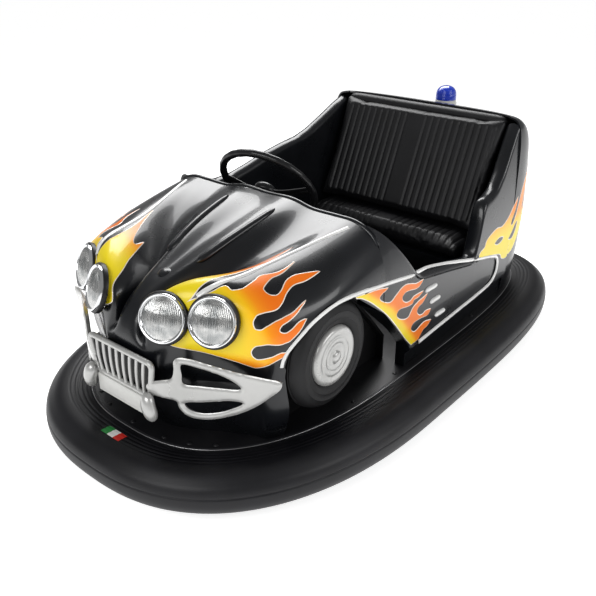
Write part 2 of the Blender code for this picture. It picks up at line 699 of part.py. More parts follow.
def dummy_wheels():
    """The two show wheels in the wings, each carried by the wall of its housing."""
    for side, hand in ((-1, "right"), (1, "left")):
        outside = TYRE_MID_X + TYRE_WIDTH / 2
        inside = TYRE_MID_X - TYRE_WIDTH / 2
        seat = outside - 0.010
        bore = CAP_DRUM_R + FIT
        tyre = turned(f"dummy_tyre_{hand}", [
            (TYRE_R - 0.014, outside - 0.008), (TYRE_R - 0.004, outside - 0.020), (TYRE_R, TYRE_MID_X),
            (TYRE_R - 0.004, inside + 0.020), (TYRE_R - 0.018, inside + 0.004), (TYRE_R - 0.050, inside),
            (bore, inside), (bore, seat), (CAP_R + 0.002, seat), (CAP_R + 0.006, outside - 0.004),
            (TYRE_R - 0.040, outside)], TYRE_RUBBER, steps=32, ring=True)
        cap = turned(f"hubcap_{hand}", [
            (0.0, CAP_FACE_X + 0.002), (0.014, CAP_FACE_X), (0.018, CAP_FACE_X - 0.005),
            (0.050, CAP_FACE_X - 0.004), (0.056, CAP_FACE_X - 0.008), (0.074, CAP_FACE_X - 0.005),
            (CAP_R, CAP_FACE_X - 0.014), (CAP_R, seat + FIT), (CAP_DRUM_R, seat + FIT),
            (CAP_DRUM_R, inside), (CAP_STUB_R, inside), (CAP_STUB_R, HOUSE_X + HOUSE_SHEET + FIT),
            (0.0, HOUSE_X + HOUSE_SHEET + FIT)], SILVER_PLASTIC, steps=32)
        for piece in (tyre, cap):
            piece.rotation_euler = (0.0, side * math.pi / 2, 0.0)
            piece.location = (0.0, HUB_Y, HUB_Z)
        # the housing: a wall with a lip round it, standing on the deck
        outline = wheel_opening(HOUSE_GROW)
        floor = DECK_TOP + FIT
        outline = [(y, max(z, floor)) for y, z in outline]
        hollow = [(y, max(z, floor - 0.02)) for y, z in wheel_opening(HOUSE_GROW - HOUSE_SHEET)]
        hollow = [(y, z - 0.05 if z < floor + 0.001 else z) for y, z in hollow]
        depth = HOUSE_EDGE_X - HOUSE_X
        house = as_mesh(on_side(flat(f"wheel_house_{hand}", outline, depth, GLOSS_BLACK),
                                side * (HOUSE_X + depth / 2)))
        inner = as_mesh(on_side(flat(f"house_hollow_{side}", hollow, depth, None, group=guides),
                                side * (HOUSE_X + depth / 2 + HOUSE_SHEET)))
        cut(house, inner)


# ------------------------------------------------------------------ cockpit
def dashboard():
    """The bulkhead under the rear edge of the bonnet, cut to the inside of the shell."""
    section = [point_at_y(line, DASH_Y) for line in front_lines()]
    half = []
    for before, here, after in zip(section, section[1:], section[2:]):
        way = Vector((after.x - before.x, after.z - before.z)).normalized()
        inset = SHELL + 0.003
        half.append((here.x + way.y * inset, here.z - way.x * inset))
    ledge = HUB_Z + ARCH_R
    half = [(0.0, section[0].z - SHELL - 0.003)] + [p for p in half if p[1] > ledge]
    foot = HOUSE_X - FIT
    half += [(half[-1][0], ledge - 0.02), (foot, ledge - 0.035), (foot, DECK_TOP + FIT)]
    outline = half + [(-x, z) for x, z in reversed(half[1:])]
    panel = as_mesh(stand_facing_front(flat("dashboard", outline, DASH_SHEET, GLOSS_BLACK), DASH_Y))
    axis = (STEER_CENTRE - STEER_FOOT).normalized()
    cut(panel, rod("column_cutter", COLUMN_R + FIT, STEER_FOOT - axis * 0.05, STEER_CENTRE, group=guides))
    rod("steering_column", COLUMN_R, STEER_FOOT, STEER_CENTRE - axis * (STEER_HUB_DROP + 0.0105), STEEL)
    pedal = box("pedal", PEDAL_SIZE, (PEDAL_PLACE[0], PEDAL_PLACE[1], DECK_TOP + PEDAL_LIFT), BARE_STEEL)
    pedal.rotation_euler = (-PEDAL_RISE, 0.0, 0.0)
    join(pedal, box("pedal_foot", (PEDAL_SIZE[0] * 0.6, 0.050, 0.050),
                    (PEDAL_PLACE[0], PEDAL_PLACE[1] - 0.020, DECK_TOP + FIT + 0.025), group=guides))


def steering_wheel():
    """A round grip, three spokes and a padded boss on the column's axis."""
    axis = (STEER_CENTRE - STEER_FOOT).normalized()
    pivot = axis_empty("steering_axis", STEER_CENTRE, axis)
    grip = [(STEER_RIM_R + STEER_GRIP_R * math.cos(a), STEER_GRIP_R * math.sin(a))
            for a in [math.pi / 2 - 2 * math.pi * k / 8 for k in range(8)]]
    wheel = turned("steering_wheel", grip, VINYL, steps=40, ring=True)
    wheel.rotation_euler = pivot.rotation_euler
    wheel.location = STEER_CENTRE
    turn = pivot.matrix_world.to_3x3()
    up = (Vector((0, 0, 1)) - axis * axis.z).normalized()
    across = axis.cross(up)
    boss = STEER_CENTRE - axis * STEER_HUB_DROP
    join(wheel, rod("steering_boss", STEER_BOSS_R, boss - axis * 0.010, boss + axis * 0.022, group=guides))
    for k, angle in enumerate((0, 180, 270)):
        way = across * math.cos(math.radians(angle)) + up * math.sin(math.radians(angle))
        join(wheel, rod(f"spoke_{k}", 0.010, boss + way * 0.01, STEER_CENTRE + way * STEER_RIM_R, group=guides,
                        sides=12))
    hang(wheel, pivot)


def body_half_width(y):
    """Half the body's width at its widest height."""
    return between([(-0.48, 0.434), (-0.235, 0.432), (0.0, 0.425), (0.30, 0.415), (TAIL_SPLIT_Y, 0.402)], y)


def side_x(y, z):
    """Distance of the side wall's outer face from the middle: upright below, leaning in above."""
    lean = between([(-0.268, 0.0300), (0.0, 0.0220), (0.30, 0.0120), (TAIL_SPLIT_Y, 0.0035)], y)
    above = max(0.0, (z - 0.45) / 0.15)
    below = max(0.0, (ROCKER_TOP - z) / (ROCKER_TOP - DECK_TOP))
    return body_half_width(y) - lean * above ** 2 - ROCKER_INSET * min(1.0, below * 2.5)


# Height of the side walls' top edge at stations (y, z) from the cowl back to the seat.
LOW_WALL = [(COWL_Y + FIT, 0.655), (-0.235, 0.634), (-0.205, 0.607), (-0.178, 0.578), (-0.150, 0.547),
            (-0.120, 0.512), (-0.095, 0.482), (-0.070, 0.466), (0.0, 0.452), (0.100, 0.432), (0.200, 0.410),
            (0.284, 0.392), (0.298, 0.420), (0.314, 0.480), (0.330, 0.545), (0.350, 0.572), (0.390, 0.578),
            (0.430, 0.592), (0.480, 0.638), (0.530, 0.710), (0.560, 0.757), (TAIL_SPLIT_Y - 0.0008, 0.778)]
HIGH_WALL = [(COWL_Y + FIT, 0.655), (-0.200, 0.622), (-0.120, 0.600), (-0.040, 0.602), (0.040, 0.620),
             (0.130, 0.645), (0.220, 0.661), (0.300, 0.670), (0.360, 0.688), (0.430, 0.719), (0.520, 0.760),
             (TAIL_SPLIT_Y - 0.0008, 0.778)]


def wall_section(side, y, top):
    """One closed section of a side wall: up the inside, over the round top and down the outside."""
    floor = DECK_TOP + FIT
    outer_top = side_x(y, top - 0.02)
    inner_top = outer_top - WALL
    radius = WALL / 2
    points = []
    heights = [floor, ROCKER_TOP - 0.03, ROCKER_TOP, 0.30, 0.38]
    shoulder = top - radius
    heights = [min(h, shoulder - 0.001 * (len(heights) - k)) for k, h in enumerate(heights)]
    rise = [heights[-1] + (shoulder - heights[-1]) * k / 4 for k in range(1, 5)]
    levels = heights + rise
    for z in levels:
        points.append((inner_top if z > 0.30 else body_half_width(y) - WALL, z))
    for k in range(1, 6):
        angle = math.pi * (1 - k / 6)
        points.append((inner_top + radius + radius * math.cos(angle), shoulder + radius * math.sin(angle)))
    for z in reversed(levels):
        points.append((max(side_x(y, z), inner_top + WALL) if z > shoulder - 0.001 else side_x(y, z), z))
    return [Vector((side * x, y, z)) for x, z in points]


def side_walls():
    for side, hand, tops in ((1, "left", LOW_WALL), (-1, "right", HIGH_WALL)):
        wall = loft(f"side_panel_{hand}", [wall_section(side, y, top) for y, top in tops], GLOSS_BLACK)
        cut(wall, opening_cutter(side, "wall"))


# Sections of the tail by height: (height, half width, how far back it reaches).
TAIL_SECTIONS = [(0.797, 0.345, 0.612), (0.790, 0.370, 0.655), (0.774, 0.384, 0.705), (0.750, 0.392, 0.755),
                 (0.715, 0.397, 0.792), (0.660, 0.400, 0.815), (0.560, 0.402, 0.835), (0.400, 0.402, 0.845),
                 (0.250, 0.395, 0.830), (DECK_TOP + FIT, 0.385, 0.800)]


def tail_y(x, half, reach):
    """Where the tail's outline lies at a distance from the middle."""
    return TAIL_SPLIT_Y + (reach - TAIL_SPLIT_Y) * (1 - (abs(x) / half) ** TAIL_CORNER) ** (1 / TAIL_CORNER)


def rear_body():
    rows = []
    for height, half, reach in TAIL_SECTIONS:
        row = []
        for k in range(TAIL_POINTS + 1):
            angle = math.pi * k / TAIL_POINTS
            across = math.copysign(abs(math.cos(angle)) ** (2 / TAIL_CORNER), math.cos(angle))
            along = math.sin(angle) ** (2 / TAIL_CORNER) if 0 < k < TAIL_POINTS else 0.0
            row.append((half * across, TAIL_SPLIT_Y + (reach - TAIL_SPLIT_Y) * along, height))
        rows.append(row)
    mesh = bpy.data.meshes.new("rear_body")
    bm = grid(rows)
    bmesh.ops.reverse_faces(bm, faces=bm.faces)
    bm.to_mesh(mesh)
    bm.free()
    tail = place("rear_body", mesh, GLOSS_BLACK)
    shell = tail.modifiers.new("shell", "SOLIDIFY")
    shell.thickness = SHELL
    shell.offset = -1.0
    hole = rod("beacon_cutter", BEACON_R + FIT, (0, BEACON_Y, 0.60), (0, BEACON_Y, 0.90), group=guides)
    cut(tail, hole)
    base = rod("beacon_base", BEACON_R, (0, BEACON_Y, BEACON_FOOT), (0, BEACON_Y, BEACON_SEAT), CREAM_PLASTIC)
    smooth(base)
    dome = turned("beacon_dome", [(0.0, 0.050), (0.020, 0.048), (0.033, 0.040), (DOME_R, 0.026), (DOME_R, 0.0),
                                  (0.0, 0.0)], BLUE_LENS, steps=32)
    dome.location = (0, BEACON_Y, BEACON_SEAT + FIT)
    for side, hand in ((-1, "right"), (1, "left")):
        x, z = TAIL_LAMP_PLACE
        face = tail_y(x, 0.402, 0.836)
        cut(tail, rod(f"tail_lamp_cutter_{side}", TAIL_LAMP_R * 0.6 + FIT, (side * x, 0.6, z),
                      (side * x, 0.9, z), group=guides))
        lamp = turned(f"tail_lamp_{hand}", [
            (0.0, 0.022), (TAIL_LAMP_R * 0.6, 0.019), (TAIL_LAMP_R, 0.010), (TAIL_LAMP_R, 0.004),
            (TAIL_LAMP_R * 0.6, 0.004), (TAIL_LAMP_R * 0.6, -0.030), (0.0, -0.030)], RED_LENS, steps=28)
        lamp.rotation_euler = (-math.pi / 2, 0.0, 0.0)
        lamp.location = (side * x, face + 0.006, z)


def seat():
    base_top = SEAT_TOP - CUSHION
    mesh = bpy.data.meshes.new("seat_base")
    bm = bmesh.new()
    size = (2 * SEAT_HALF, SEAT_REAR_Y - SEAT_FRONT_Y - 0.01, base_top - FIT - DECK_TOP - FIT)
    bmesh.ops.create_cube(bm, size=1.0, matrix=Matrix.Diagonal((*size, 1.0)))
    bmesh.ops.delete(bm, geom=[f for f in bm.faces if f.normal.z < -0.5], context="FACES")
    bm.to_mesh(mesh)
    bm.free()
    base = place("seat_base", mesh, GLOSS_BLACK)
    base.location = (0, (SEAT_REAR_Y + SEAT_FRONT_Y + 0.01) / 2, DECK_TOP + FIT + size[2] / 2)
    shell = base.modifiers.new("shell", "SOLIDIFY")
    shell.thickness = SHELL
    shell.offset = -1.0
    box("battery", BATTERY_SIZE, (0, (SEAT_REAR_Y + SEAT_FRONT_Y) / 2, DECK_TOP + FIT + BATTERY_SIZE[2] / 2),
        BATTERY_CASE)
    cushion = box("seat_cushion", (2 * SEAT_HALF, SEAT_REAR_Y - SEAT_FRONT_Y, CUSHION - FIT),
                  (0, (SEAT_REAR_Y + SEAT_FRONT_Y) / 2, SEAT_TOP - (CUSHION - FIT) / 2), VINYL)
    bevel(cushion, 0.018)
    lean = math.atan2(BACK_HEAD.y - BACK_FOOT.y, BACK_HEAD.z - BACK_FOOT.z)
    length = (BACK_HEAD - BACK_FOOT).length
    back = box("seat_back", (2 * SEAT_HALF, BACK_THICK, length), (0, 0, 0), VINYL)
    bevel(back, 0.014)
    middle = (BACK_HEAD + BACK_FOOT) / 2 + Vector((0, math.cos(lean), -math.sin(lean))) * BACK_THICK / 2
    back.location = middle
    back.rotation_euler = (-lean, 0.0, 0.0)


# ------------------------------------------------------------------ drive unit and rear wheels
def ring_on_x(name, profile, finish, centre, steps=28):
    """A turned ring whose axis runs across the car."""
    piece = turned(name, profile, finish, steps=steps, ring=True)
    piece.rotation_euler = (0.0, math.pi / 2, 0.0)
    piece.location = centre
    return piece


def tyre_profile(radius, bore, width):
    half = width / 2
    return [(radius - 0.008, half), (radius, half - 0.010), (radius, -half + 0.010),
            (radius - 0.008, -half), (bore, -half), (bore, half)]


def hub_profile(radius, bore, width):
    half = width / 2
    return [(bore + 0.012, half + 0.006), (bore + 0.012, half), (radius, half), (radius, -half),
            (bore + 0.012, -half), (bore + 0.012, -half - 0.006), (bore, -half - 0.006), (bore, half + 0.006)]


def drive_unit():
    centre = Vector((0.0, DRIVE_Y, 0.0))
    ring = turned("drive_ring", [
        (DRIVE_RING_R, DRIVE_RING_HEIGHT), (DRIVE_RING_R, 0.0), (DRIVE_BORE_R, 0.0),
        (DRIVE_BORE_R, DRIVE_RING_HEIGHT)], STEEL, steps=48, ring=True)
    ring.location = centre + Vector((0, 0, DECK_TOP + FIT))
    table_foot = DECK_TOP + 2 * FIT + DRIVE_RING_HEIGHT
    swivel = axis_empty("drive_swivel_axis", centre + Vector((0, 0, table_foot)))
    fork = rod("drive_fork", TURNTABLE_R, centre + Vector((0, 0, table_foot)),
               centre + Vector((0, 0, table_foot + TURNTABLE_SHEET)), STEEL, sides=48)
    slot_width = DRIVE_TYRE_WIDTH + 0.016
    slot_length = 2 * DRIVE_TYRE_R + 0.012
    cut(fork, box("wheel_slot", (slot_width, slot_length, 0.1), centre + Vector((0, 0, table_foot)), group=guides))
    cheek_x = slot_width / 2 + CHEEK_SHEET / 2 + 0.001
    foot = DRIVE_TYRE_R - 0.030
    for side in (-1, 1):
        join(fork, box(f"cheek_{side}", (CHEEK_SHEET, CHEEK_LENGTH, CHEEK_TOP - foot),
                       centre + Vector((side * cheek_x, 0, (CHEEK_TOP + foot) / 2)), group=guides))
    hub_centre = centre + Vector((0, 0, DRIVE_TYRE_R))
    reach = Vector((cheek_x + CHEEK_SHEET, 0, 0))
    join(fork, rod("drive_axle", AXLE_R, hub_centre - reach, hub_centre + reach, group=guides, sides=24))
    motor = box("drive_motor", MOTOR_SIZE, centre + Vector((0, 0, CHEEK_TOP + FIT + MOTOR_SIZE[2] / 2)), STEEL)
    axle = axis_empty("drive_axle_axis", hub_centre, (1, 0, 0))
    tyre = ring_on_x("drive_tyre", tyre_profile(DRIVE_TYRE_R, DRIVE_HUB_R + FIT, DRIVE_TYRE_WIDTH), TYRE_RUBBER,
                     hub_centre)
    hub = ring_on_x("drive_hub", hub_profile(DRIVE_HUB_R, AXLE_R + PIN_CLEARANCE, DRIVE_TYRE_WIDTH - 0.012),
                    BARE_STEEL, hub_centre)
    hang(fork, swivel)
    hang(motor, swivel)
    hang(axle, swivel)
    hang(tyre, axle)
    hang(hub, axle)


def rear_wheels():
    middle = Vector((0.0, REAR_Y, REAR_TYRE_R))
    reach = REAR_WHEEL_X + REAR_TYRE_WIDTH / 2 + 0.012
    axle = rod("rear_axle", AXLE_R, middle - Vector((reach, 0, 0)), middle + Vector((reach, 0, 0)), STEEL,
               sides=24)
    rail_foot = RAIL_TOP - RAIL_HEIGHT
    block_height = rail_foot - FIT - (REAR_TYRE_R - AXLE_BLOCK_DROP)
    for side, hand in ((-1, "right"), (1, "left")):
        join(axle, box(f"axle_block_{side}", (RAIL_WIDTH, 0.060, block_height),
                       (side * RAIL_X, REAR_Y, rail_foot - FIT - block_height / 2), group=guides))
        hub_centre = middle + Vector((side * REAR_WHEEL_X, 0, 0))
        pivot = axis_empty(f"rear_axis_{hand}", hub_centre, (1, 0, 0))
        tyre = ring_on_x(f"rear_tyre_{hand}", tyre_profile(REAR_TYRE_R, REAR_HUB_R + FIT, REAR_TYRE_WIDTH),
                         TYRE_RUBBER, hub_centre)
        hub = ring_on_x(f"rear_hub_{hand}", hub_profile(REAR_HUB_R, AXLE_R + PIN_CLEARANCE,
                                                        REAR_TYRE_WIDTH - 0.010), BARE_STEEL, hub_centre)
        hang(tyre, pivot)
        hang(hub, pivot)


chassis_ring()
deck()
ladder_frame()
front_body()
front_trim()
dummy_wheels()
dashboard()
steering_wheel()
side_walls()
rear_body()
seat()
drive_unit()
rear_wheels()
bpy.context.view_layer.update()
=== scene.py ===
# %% [markdown]
# # A fairground bumper car
# The car is a glossy black moulding on a deck inside a thick rubber ring. Its mechanical pieces come
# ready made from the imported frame. This lesson gives each of them its finish, and builds the fine outer
# skins, the trim, the painted flames and the padded seat round them. All lengths are metres, the car
# faces -Y and its left side is +X.

# %% Load the frame
import json
import math

import bmesh
import bpy
import numpy as np
from mathutils import Matrix, Vector
from mathutils.bvhtree import BVHTree
from mathutils.geometry import delaunay_2d_cdt


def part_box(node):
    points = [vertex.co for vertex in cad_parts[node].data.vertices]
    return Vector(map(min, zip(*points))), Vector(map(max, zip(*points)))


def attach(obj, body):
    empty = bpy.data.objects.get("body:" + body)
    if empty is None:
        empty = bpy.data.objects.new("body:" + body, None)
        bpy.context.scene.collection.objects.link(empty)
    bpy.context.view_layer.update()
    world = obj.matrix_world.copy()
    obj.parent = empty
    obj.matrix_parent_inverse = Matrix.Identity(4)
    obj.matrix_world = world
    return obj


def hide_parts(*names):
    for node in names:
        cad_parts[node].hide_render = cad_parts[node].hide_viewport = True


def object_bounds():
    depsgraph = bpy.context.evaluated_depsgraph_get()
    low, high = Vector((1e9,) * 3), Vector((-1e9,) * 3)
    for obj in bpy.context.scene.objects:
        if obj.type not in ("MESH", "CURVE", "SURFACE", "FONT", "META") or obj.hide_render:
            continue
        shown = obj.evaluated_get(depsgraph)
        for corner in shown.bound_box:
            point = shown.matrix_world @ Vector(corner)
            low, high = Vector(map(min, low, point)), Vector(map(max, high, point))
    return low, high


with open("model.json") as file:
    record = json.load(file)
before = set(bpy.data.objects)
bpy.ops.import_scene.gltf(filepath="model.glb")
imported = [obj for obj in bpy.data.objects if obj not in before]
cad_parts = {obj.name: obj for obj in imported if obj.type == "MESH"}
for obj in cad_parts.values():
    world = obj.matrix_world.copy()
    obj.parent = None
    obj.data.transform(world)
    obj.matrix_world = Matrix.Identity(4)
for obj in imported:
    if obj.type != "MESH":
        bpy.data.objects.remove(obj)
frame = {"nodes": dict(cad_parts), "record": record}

cad_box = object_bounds()
print("CAD box", cad_box)

# %% [markdown]
# ## Finishes
# Every finish is a Principled shader. A slow noise moves its colour and roughness from place to place, as
# paint and rubber do, and a fine noise gives the grain. Object coordinates are metres, so a noise scale
# of 400 makes grains of about 2 mm.

# %% A helper for grained finishes


GRAIN_DEPTH = 0.001
COAT_ROUGHNESS = 0.03


def finish(name, dark, light, rough=(0.3, 0.4), metallic=0.0, grain=300.0, bump=0.02, coat=0.0,
           cloud_scale=9.0):
    """A grained finish between two colours and two roughnesses."""
    made = bpy.data.materials.new(name)
    made.use_nodes = True
    tree = made.node_tree
    nodes, links = tree.nodes, tree.links
    shader = nodes["Principled BSDF"]
    place = nodes.new("ShaderNodeTexCoord")
    cloud = nodes.new("ShaderNodeTexNoise")
    cloud.inputs["Scale"].default_value = cloud_scale
    cloud.inputs["Detail"].default_value = 6.0
    links.new(place.outputs["Object"], cloud.inputs["Vector"])
    colour = nodes.new("ShaderNodeValToRGB")
    colour.name = "colour"
    colour.color_ramp.elements[0].position = 0.35
    colour.color_ramp.elements[1].position = 0.65
    colour.color_ramp.elements[0].color = (*dark, 1.0)
    colour.color_ramp.elements[1].color = (*light, 1.0)
    links.new(cloud.outputs["Fac"], colour.inputs["Fac"])
    links.new(colour.outputs["Color"], shader.inputs["Base Color"])
    sheen = nodes.new("ShaderNodeMapRange")
    sheen.inputs["To Min"].default_value = rough[0]
    sheen.inputs["To Max"].default_value = rough[1]
    links.new(cloud.outputs["Fac"], sheen.inputs["Value"])
    links.new(sheen.outputs["Result"], shader.inputs["Roughness"])
    fine = nodes.new("ShaderNodeTexNoise")
    fine.inputs["Scale"].default_value = grain
    fine.inputs["Detail"].default_value = 3.0
    links.new(place.outputs["Object"], fine.inputs["Vector"])
    relief = nodes.new("ShaderNodeBump")
    relief.inputs["Strength"].default_value = bump
    relief.inputs["Distance"].default_value = GRAIN_DEPTH
    links.new(fine.outputs["Fac"], relief.inputs["Height"])
    links.new(relief.outputs["Normal"], shader.inputs["Normal"])
    shader.inputs["Metallic"].default_value = metallic
    shader.inputs["Coat Weight"].default_value = coat
    shader.inputs["Coat Roughness"].default_value = COAT_ROUGHNESS
    return made


# %% [markdown]
# ## The finishes of this car
# Each row is named for a material of the record: polished black plastic, rubber, silver paint, chrome,
# vinyl and so on. Two close colours a row are enough, because the noise in the helper does the rest.

# %% A finish for each material
FINISHES = {
    "bumper_rubber": finish("ring_rubber", (0.005, 0.005, 0.007), (0.010, 0.010, 0.013), (0.40, 0.52),
                            bump=0.12),
    "painted_steel": finish("chassis_paint", (0.030, 0.030, 0.033), (0.045, 0.045, 0.050), (0.40, 0.55)),
    "deck_paint": finish("deck_black", (0.010, 0.010, 0.012), (0.018, 0.018, 0.020), (0.30, 0.42),
                         bump=0.06),
    "gloss_black_body": finish("polished_black", (0.006, 0.007, 0.009), (0.010, 0.011, 0.014), (0.24, 0.32),
                               grain=900.0, bump=0.006, coat=0.30),
    "silver_trim": finish("silver_trim_paint", (0.43, 0.43, 0.42), (0.50, 0.50, 0.49), (0.24, 0.32), 0.35,
                          coat=0.5),
    "lamp_chrome": finish("lamp_bright", (0.70, 0.71, 0.72), (0.82, 0.83, 0.84), (0.10, 0.20), 1.0),
    "plate_white": finish("blank_plate", (0.56, 0.56, 0.54), (0.64, 0.64, 0.62), (0.35, 0.45)),
    "tyre_rubber": finish("tyre_black", (0.006, 0.006, 0.007), (0.011, 0.011, 0.012), (0.50, 0.62),
                           bump=0.15),
    "bare_steel": finish("machined_steel", (0.40, 0.40, 0.41), (0.50, 0.50, 0.51), (0.28, 0.42), 1.0),
    "cream_plastic": finish("pale_base", (0.60, 0.60, 0.58), (0.70, 0.70, 0.68), (0.30, 0.40)),
    "blue_lens": finish("cobalt_dome", (0.008, 0.035, 0.42), (0.012, 0.055, 0.55), (0.05, 0.10), coat=1.0),
    "red_lens": finish("red_lamp_lens", (0.40, 0.012, 0.012), (0.52, 0.02, 0.02), (0.08, 0.14), coat=1.0),
    "black_vinyl": finish("seat_vinyl", (0.006, 0.006, 0.007), (0.011, 0.011, 0.013), (0.42, 0.52),
                          grain=420.0, bump=0.16),
    "battery_case": finish("battery_plastic", (0.05, 0.05, 0.055), (0.07, 0.07, 0.075), (0.5, 0.6)),
    "wheel_grip": finish("grip_black", (0.010, 0.010, 0.011), (0.016, 0.016, 0.018), (0.22, 0.34),
                         bump=0.10),
}
print(len(FINISHES), "finishes")

matt_black = finish("matt_black", (0.003, 0.003, 0.004), (0.006, 0.006, 0.007), (0.55, 0.7), bump=0.08)
gasket_black = finish("gasket_black", (0.008, 0.008, 0.009), (0.014, 0.014, 0.015), (0.35, 0.5))

# %% [markdown]
# ## Finishing the ready-made pieces
# The frame's own pieces, such as the chassis, the axles and the deck, are right as they are. They only
# need the finish that the record names for them. The inside of a wheel arch is left rough on a real car,
# so it is matt.

# %% Give every node its finish
slots = {row["node"]: row["material_slot"] for row in frame["record"]["subparts"]}
for node, part in frame["nodes"].items():
    made = FINISHES[slots[node]]
    if part.data.materials:
        part.data.materials[0] = made
    else:
        part.data.materials.append(made)

for node in ("wheel_house_left", "wheel_house_right"):
    frame["nodes"][node].data.materials[0] = matt_black
print(len(frame["nodes"]), "nodes finished")

# %% [markdown]
# ## Airbrushed flame paint
# Hot-rod flames are sprayed through a mask: lemon yellow at the root, fading to orange at the tips. A
# gradient along one axis would cut across the licks, so each vertex of a flame carries its own warmth, a
# number from 0 to 1, and a colour ramp turns the warmth into paint.

# %% Flame paint
FLAME_RAMP = [(0.0, (0.82, 0.66, 0.010)), (0.40, (0.90, 0.52, 0.003)), (0.70, (0.88, 0.30, 0.002)),
              (1.0, (0.84, 0.19, 0.002))]
flame_paint = finish("flame_paint", (0.5, 0.5, 0.5), (0.5, 0.5, 0.5), (0.34, 0.40), grain=900.0, bump=0.006,
                     coat=0.25, cloud_scale=30.0)


def paint_by(paint, source, stops, interpolation="LINEAR"):
    """Let a socket, and not the slow noise, choose a finish's colour from (position, colour) stops."""
    colour = paint.node_tree.nodes["colour"]
    paint.node_tree.links.new(source, colour.inputs["Fac"])
    colour.color_ramp.interpolation = interpolation
    while len(colour.color_ramp.elements) < len(stops):
        colour.color_ramp.elements.new(0.5)
    for element, (position, value) in zip(colour.color_ramp.elements, stops):
        element.position = position
        element.color = (*value, 1.0)


warmth = flame_paint.node_tree.nodes.new("ShaderNodeAttribute")
warmth.attribute_name = "warmth"
paint_by(flame_paint, warmth.outputs["Fac"], FLAME_RAMP)
flame_edge_paint = finish("flame_edge_paint", (0.74, 0.66, 0.58), (0.84, 0.78, 0.70), (0.22, 0.30), coat=1.0)
pale_line_paint = finish("pale_line_paint", (0.70, 0.70, 0.69), (0.78, 0.78, 0.77), (0.20, 0.28), coat=1.0)
lamp_glass = finish("ribbed_glass", (0.30, 0.31, 0.31), (0.56, 0.56, 0.55), (0.12, 0.20), 0.75, coat=1.0,
                    cloud_scale=40.0)

# %% [markdown]
# ## Shaping tools
# A few helpers do most of the work: smooth curves through points, sheets from rows of points, flat
# outlines filled with an even mesh, and beads that are laid along a line on a surface.

# %% Curves and sheets


def curve_at(points, t, mirrored=False):
    """A point on a smooth curve through the given ones; mirrored makes the start level across the middle."""
    i = min(int(t), len(points) - 2)
    f = t - i
    a, b = points[i], points[i + 1]
    before = points[i - 1] if i else (Vector((-b.x, b.y, b.z)) if mirrored else 2 * a - b)
    after = points[i + 2] if i + 2 < len(points) else 2 * b - a
    return 0.5 * (2 * a + (b - before) * f + (2 * before - 5 * a + 4 * b - after) * f ** 2
                  + (3 * a - before - 3 * b + after) * f ** 3)


def smooth_line(points, steps):
    points = [Vector(p) for p in points]
    count = (len(points) - 1) * steps
    return [curve_at(points, k / steps) for k in range(count + 1)]


def drawn(points, steps=5):
    """A closed smooth outline; a point with a third value is a sharp tip."""
    tips = [i for i, p in enumerate(points) if len(p) > 2]
    flat = [Vector((p[0], p[1], 0.0)) for p in points]
    if not tips:
        wrapped = [flat[-1], *flat, flat[0], flat[1]]
        return [curve_at(wrapped, 1 + k / steps) for k in range(len(flat) * steps)]
    start = tips[0]
    turned_list = flat[start:] + flat[:start] + [flat[start]]
    cuts = [t - start for t in tips] + [len(flat)]
    outline = []
    for first, last in zip(cuts, cuts[1:]):
        outline += smooth_line(turned_list[first:last + 1], steps)[:-1]
    return outline


def mesh_from(name, verts, faces):
    made = bpy.data.meshes.new(name)
    made.from_pydata([tuple(v) for v in verts], [], faces)
    made.validate()
    return made


def rows_mesh(name, rows, around=False):
    """A sheet through rows of points, or a tube if each row closes on itself."""
    count = len(rows[0])
    verts = [p for row in rows for p in row]
    faces = []
    for i in range(len(rows) - 1):
        for j in range(count if around else count - 1):
            k = (j + 1) % count
            faces.append((i * count + j, i * count + k, (i + 1) * count + k, (i + 1) * count + j))
    if around:
        faces.append(tuple(reversed(range(count))))
        faces.append(tuple(range((len(rows) - 1) * count, len(rows) * count)))
    return mesh_from(name, verts, faces)


def outward(mesh):
    bm = bmesh.new()
    bm.from_mesh(mesh)
    bmesh.ops.recalc_face_normals(bm, faces=bm.faces)
    bm.to_mesh(mesh)
    bm.free()
    return mesh


def loose(name, mesh):
    made = bpy.data.objects.new(name, mesh)
    bpy.context.scene.collection.objects.link(made)
    return made


def baked(rough, *helpers):
    """The mesh that an object's modifiers give; the object and its cutters are removed."""
    bpy.context.view_layer.update()
    graph = bpy.context.evaluated_depsgraph_get()
    mesh = bpy.data.meshes.new_from_object(rough.evaluated_get(graph), preserve_all_data_layers=True,
                                           depsgraph=graph)
    mesh.transform(rough.matrix_world)
    for old in (rough, *helpers):
        bpy.data.objects.remove(old, do_unlink=True)
    return mesh


def thickened(rough, thickness, offset=-1.0):
    """Give a sheet its thickness: behind its faces at -1, in front of them at 1."""
    shell = rough.modifiers.new("thickness", "SOLIDIFY")
    shell.thickness = thickness
    shell.offset = offset
    return rough


def rounded(rough, width, segments=1, sharper_than=30):
    """Round the edges that turn by more than an angle."""
    edge = rough.modifiers.new("round_edges", "BEVEL")
    edge.width = width
    edge.segments = segments
    edge.angle_limit = math.radians(sharper_than)
    return rough


def show(name, mesh, paint, body="car", stands_for=(), sharp=38):
    """Finish a mesh as a shown piece that rides on a body."""
    mesh.materials.clear()
    mesh.materials.append(paint)
    mesh.shade_smooth()
    mesh.set_sharp_from_angle(angle=math.radians(sharp))
    made = loose(name, mesh)
    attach(made, body)
    if stands_for:
        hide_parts(*stands_for)
    print(name, len(mesh.polygons), "faces")
    return made


# %% [markdown]
# ## Flat outlines with holes
# Flames and bumper blades are cut from flat outlines. One big polygon would bend badly on a round body,
# so the outline is filled with even triangles by a constrained Delaunay net, which keeps its edge
# exactly.

# %% Filled outlines


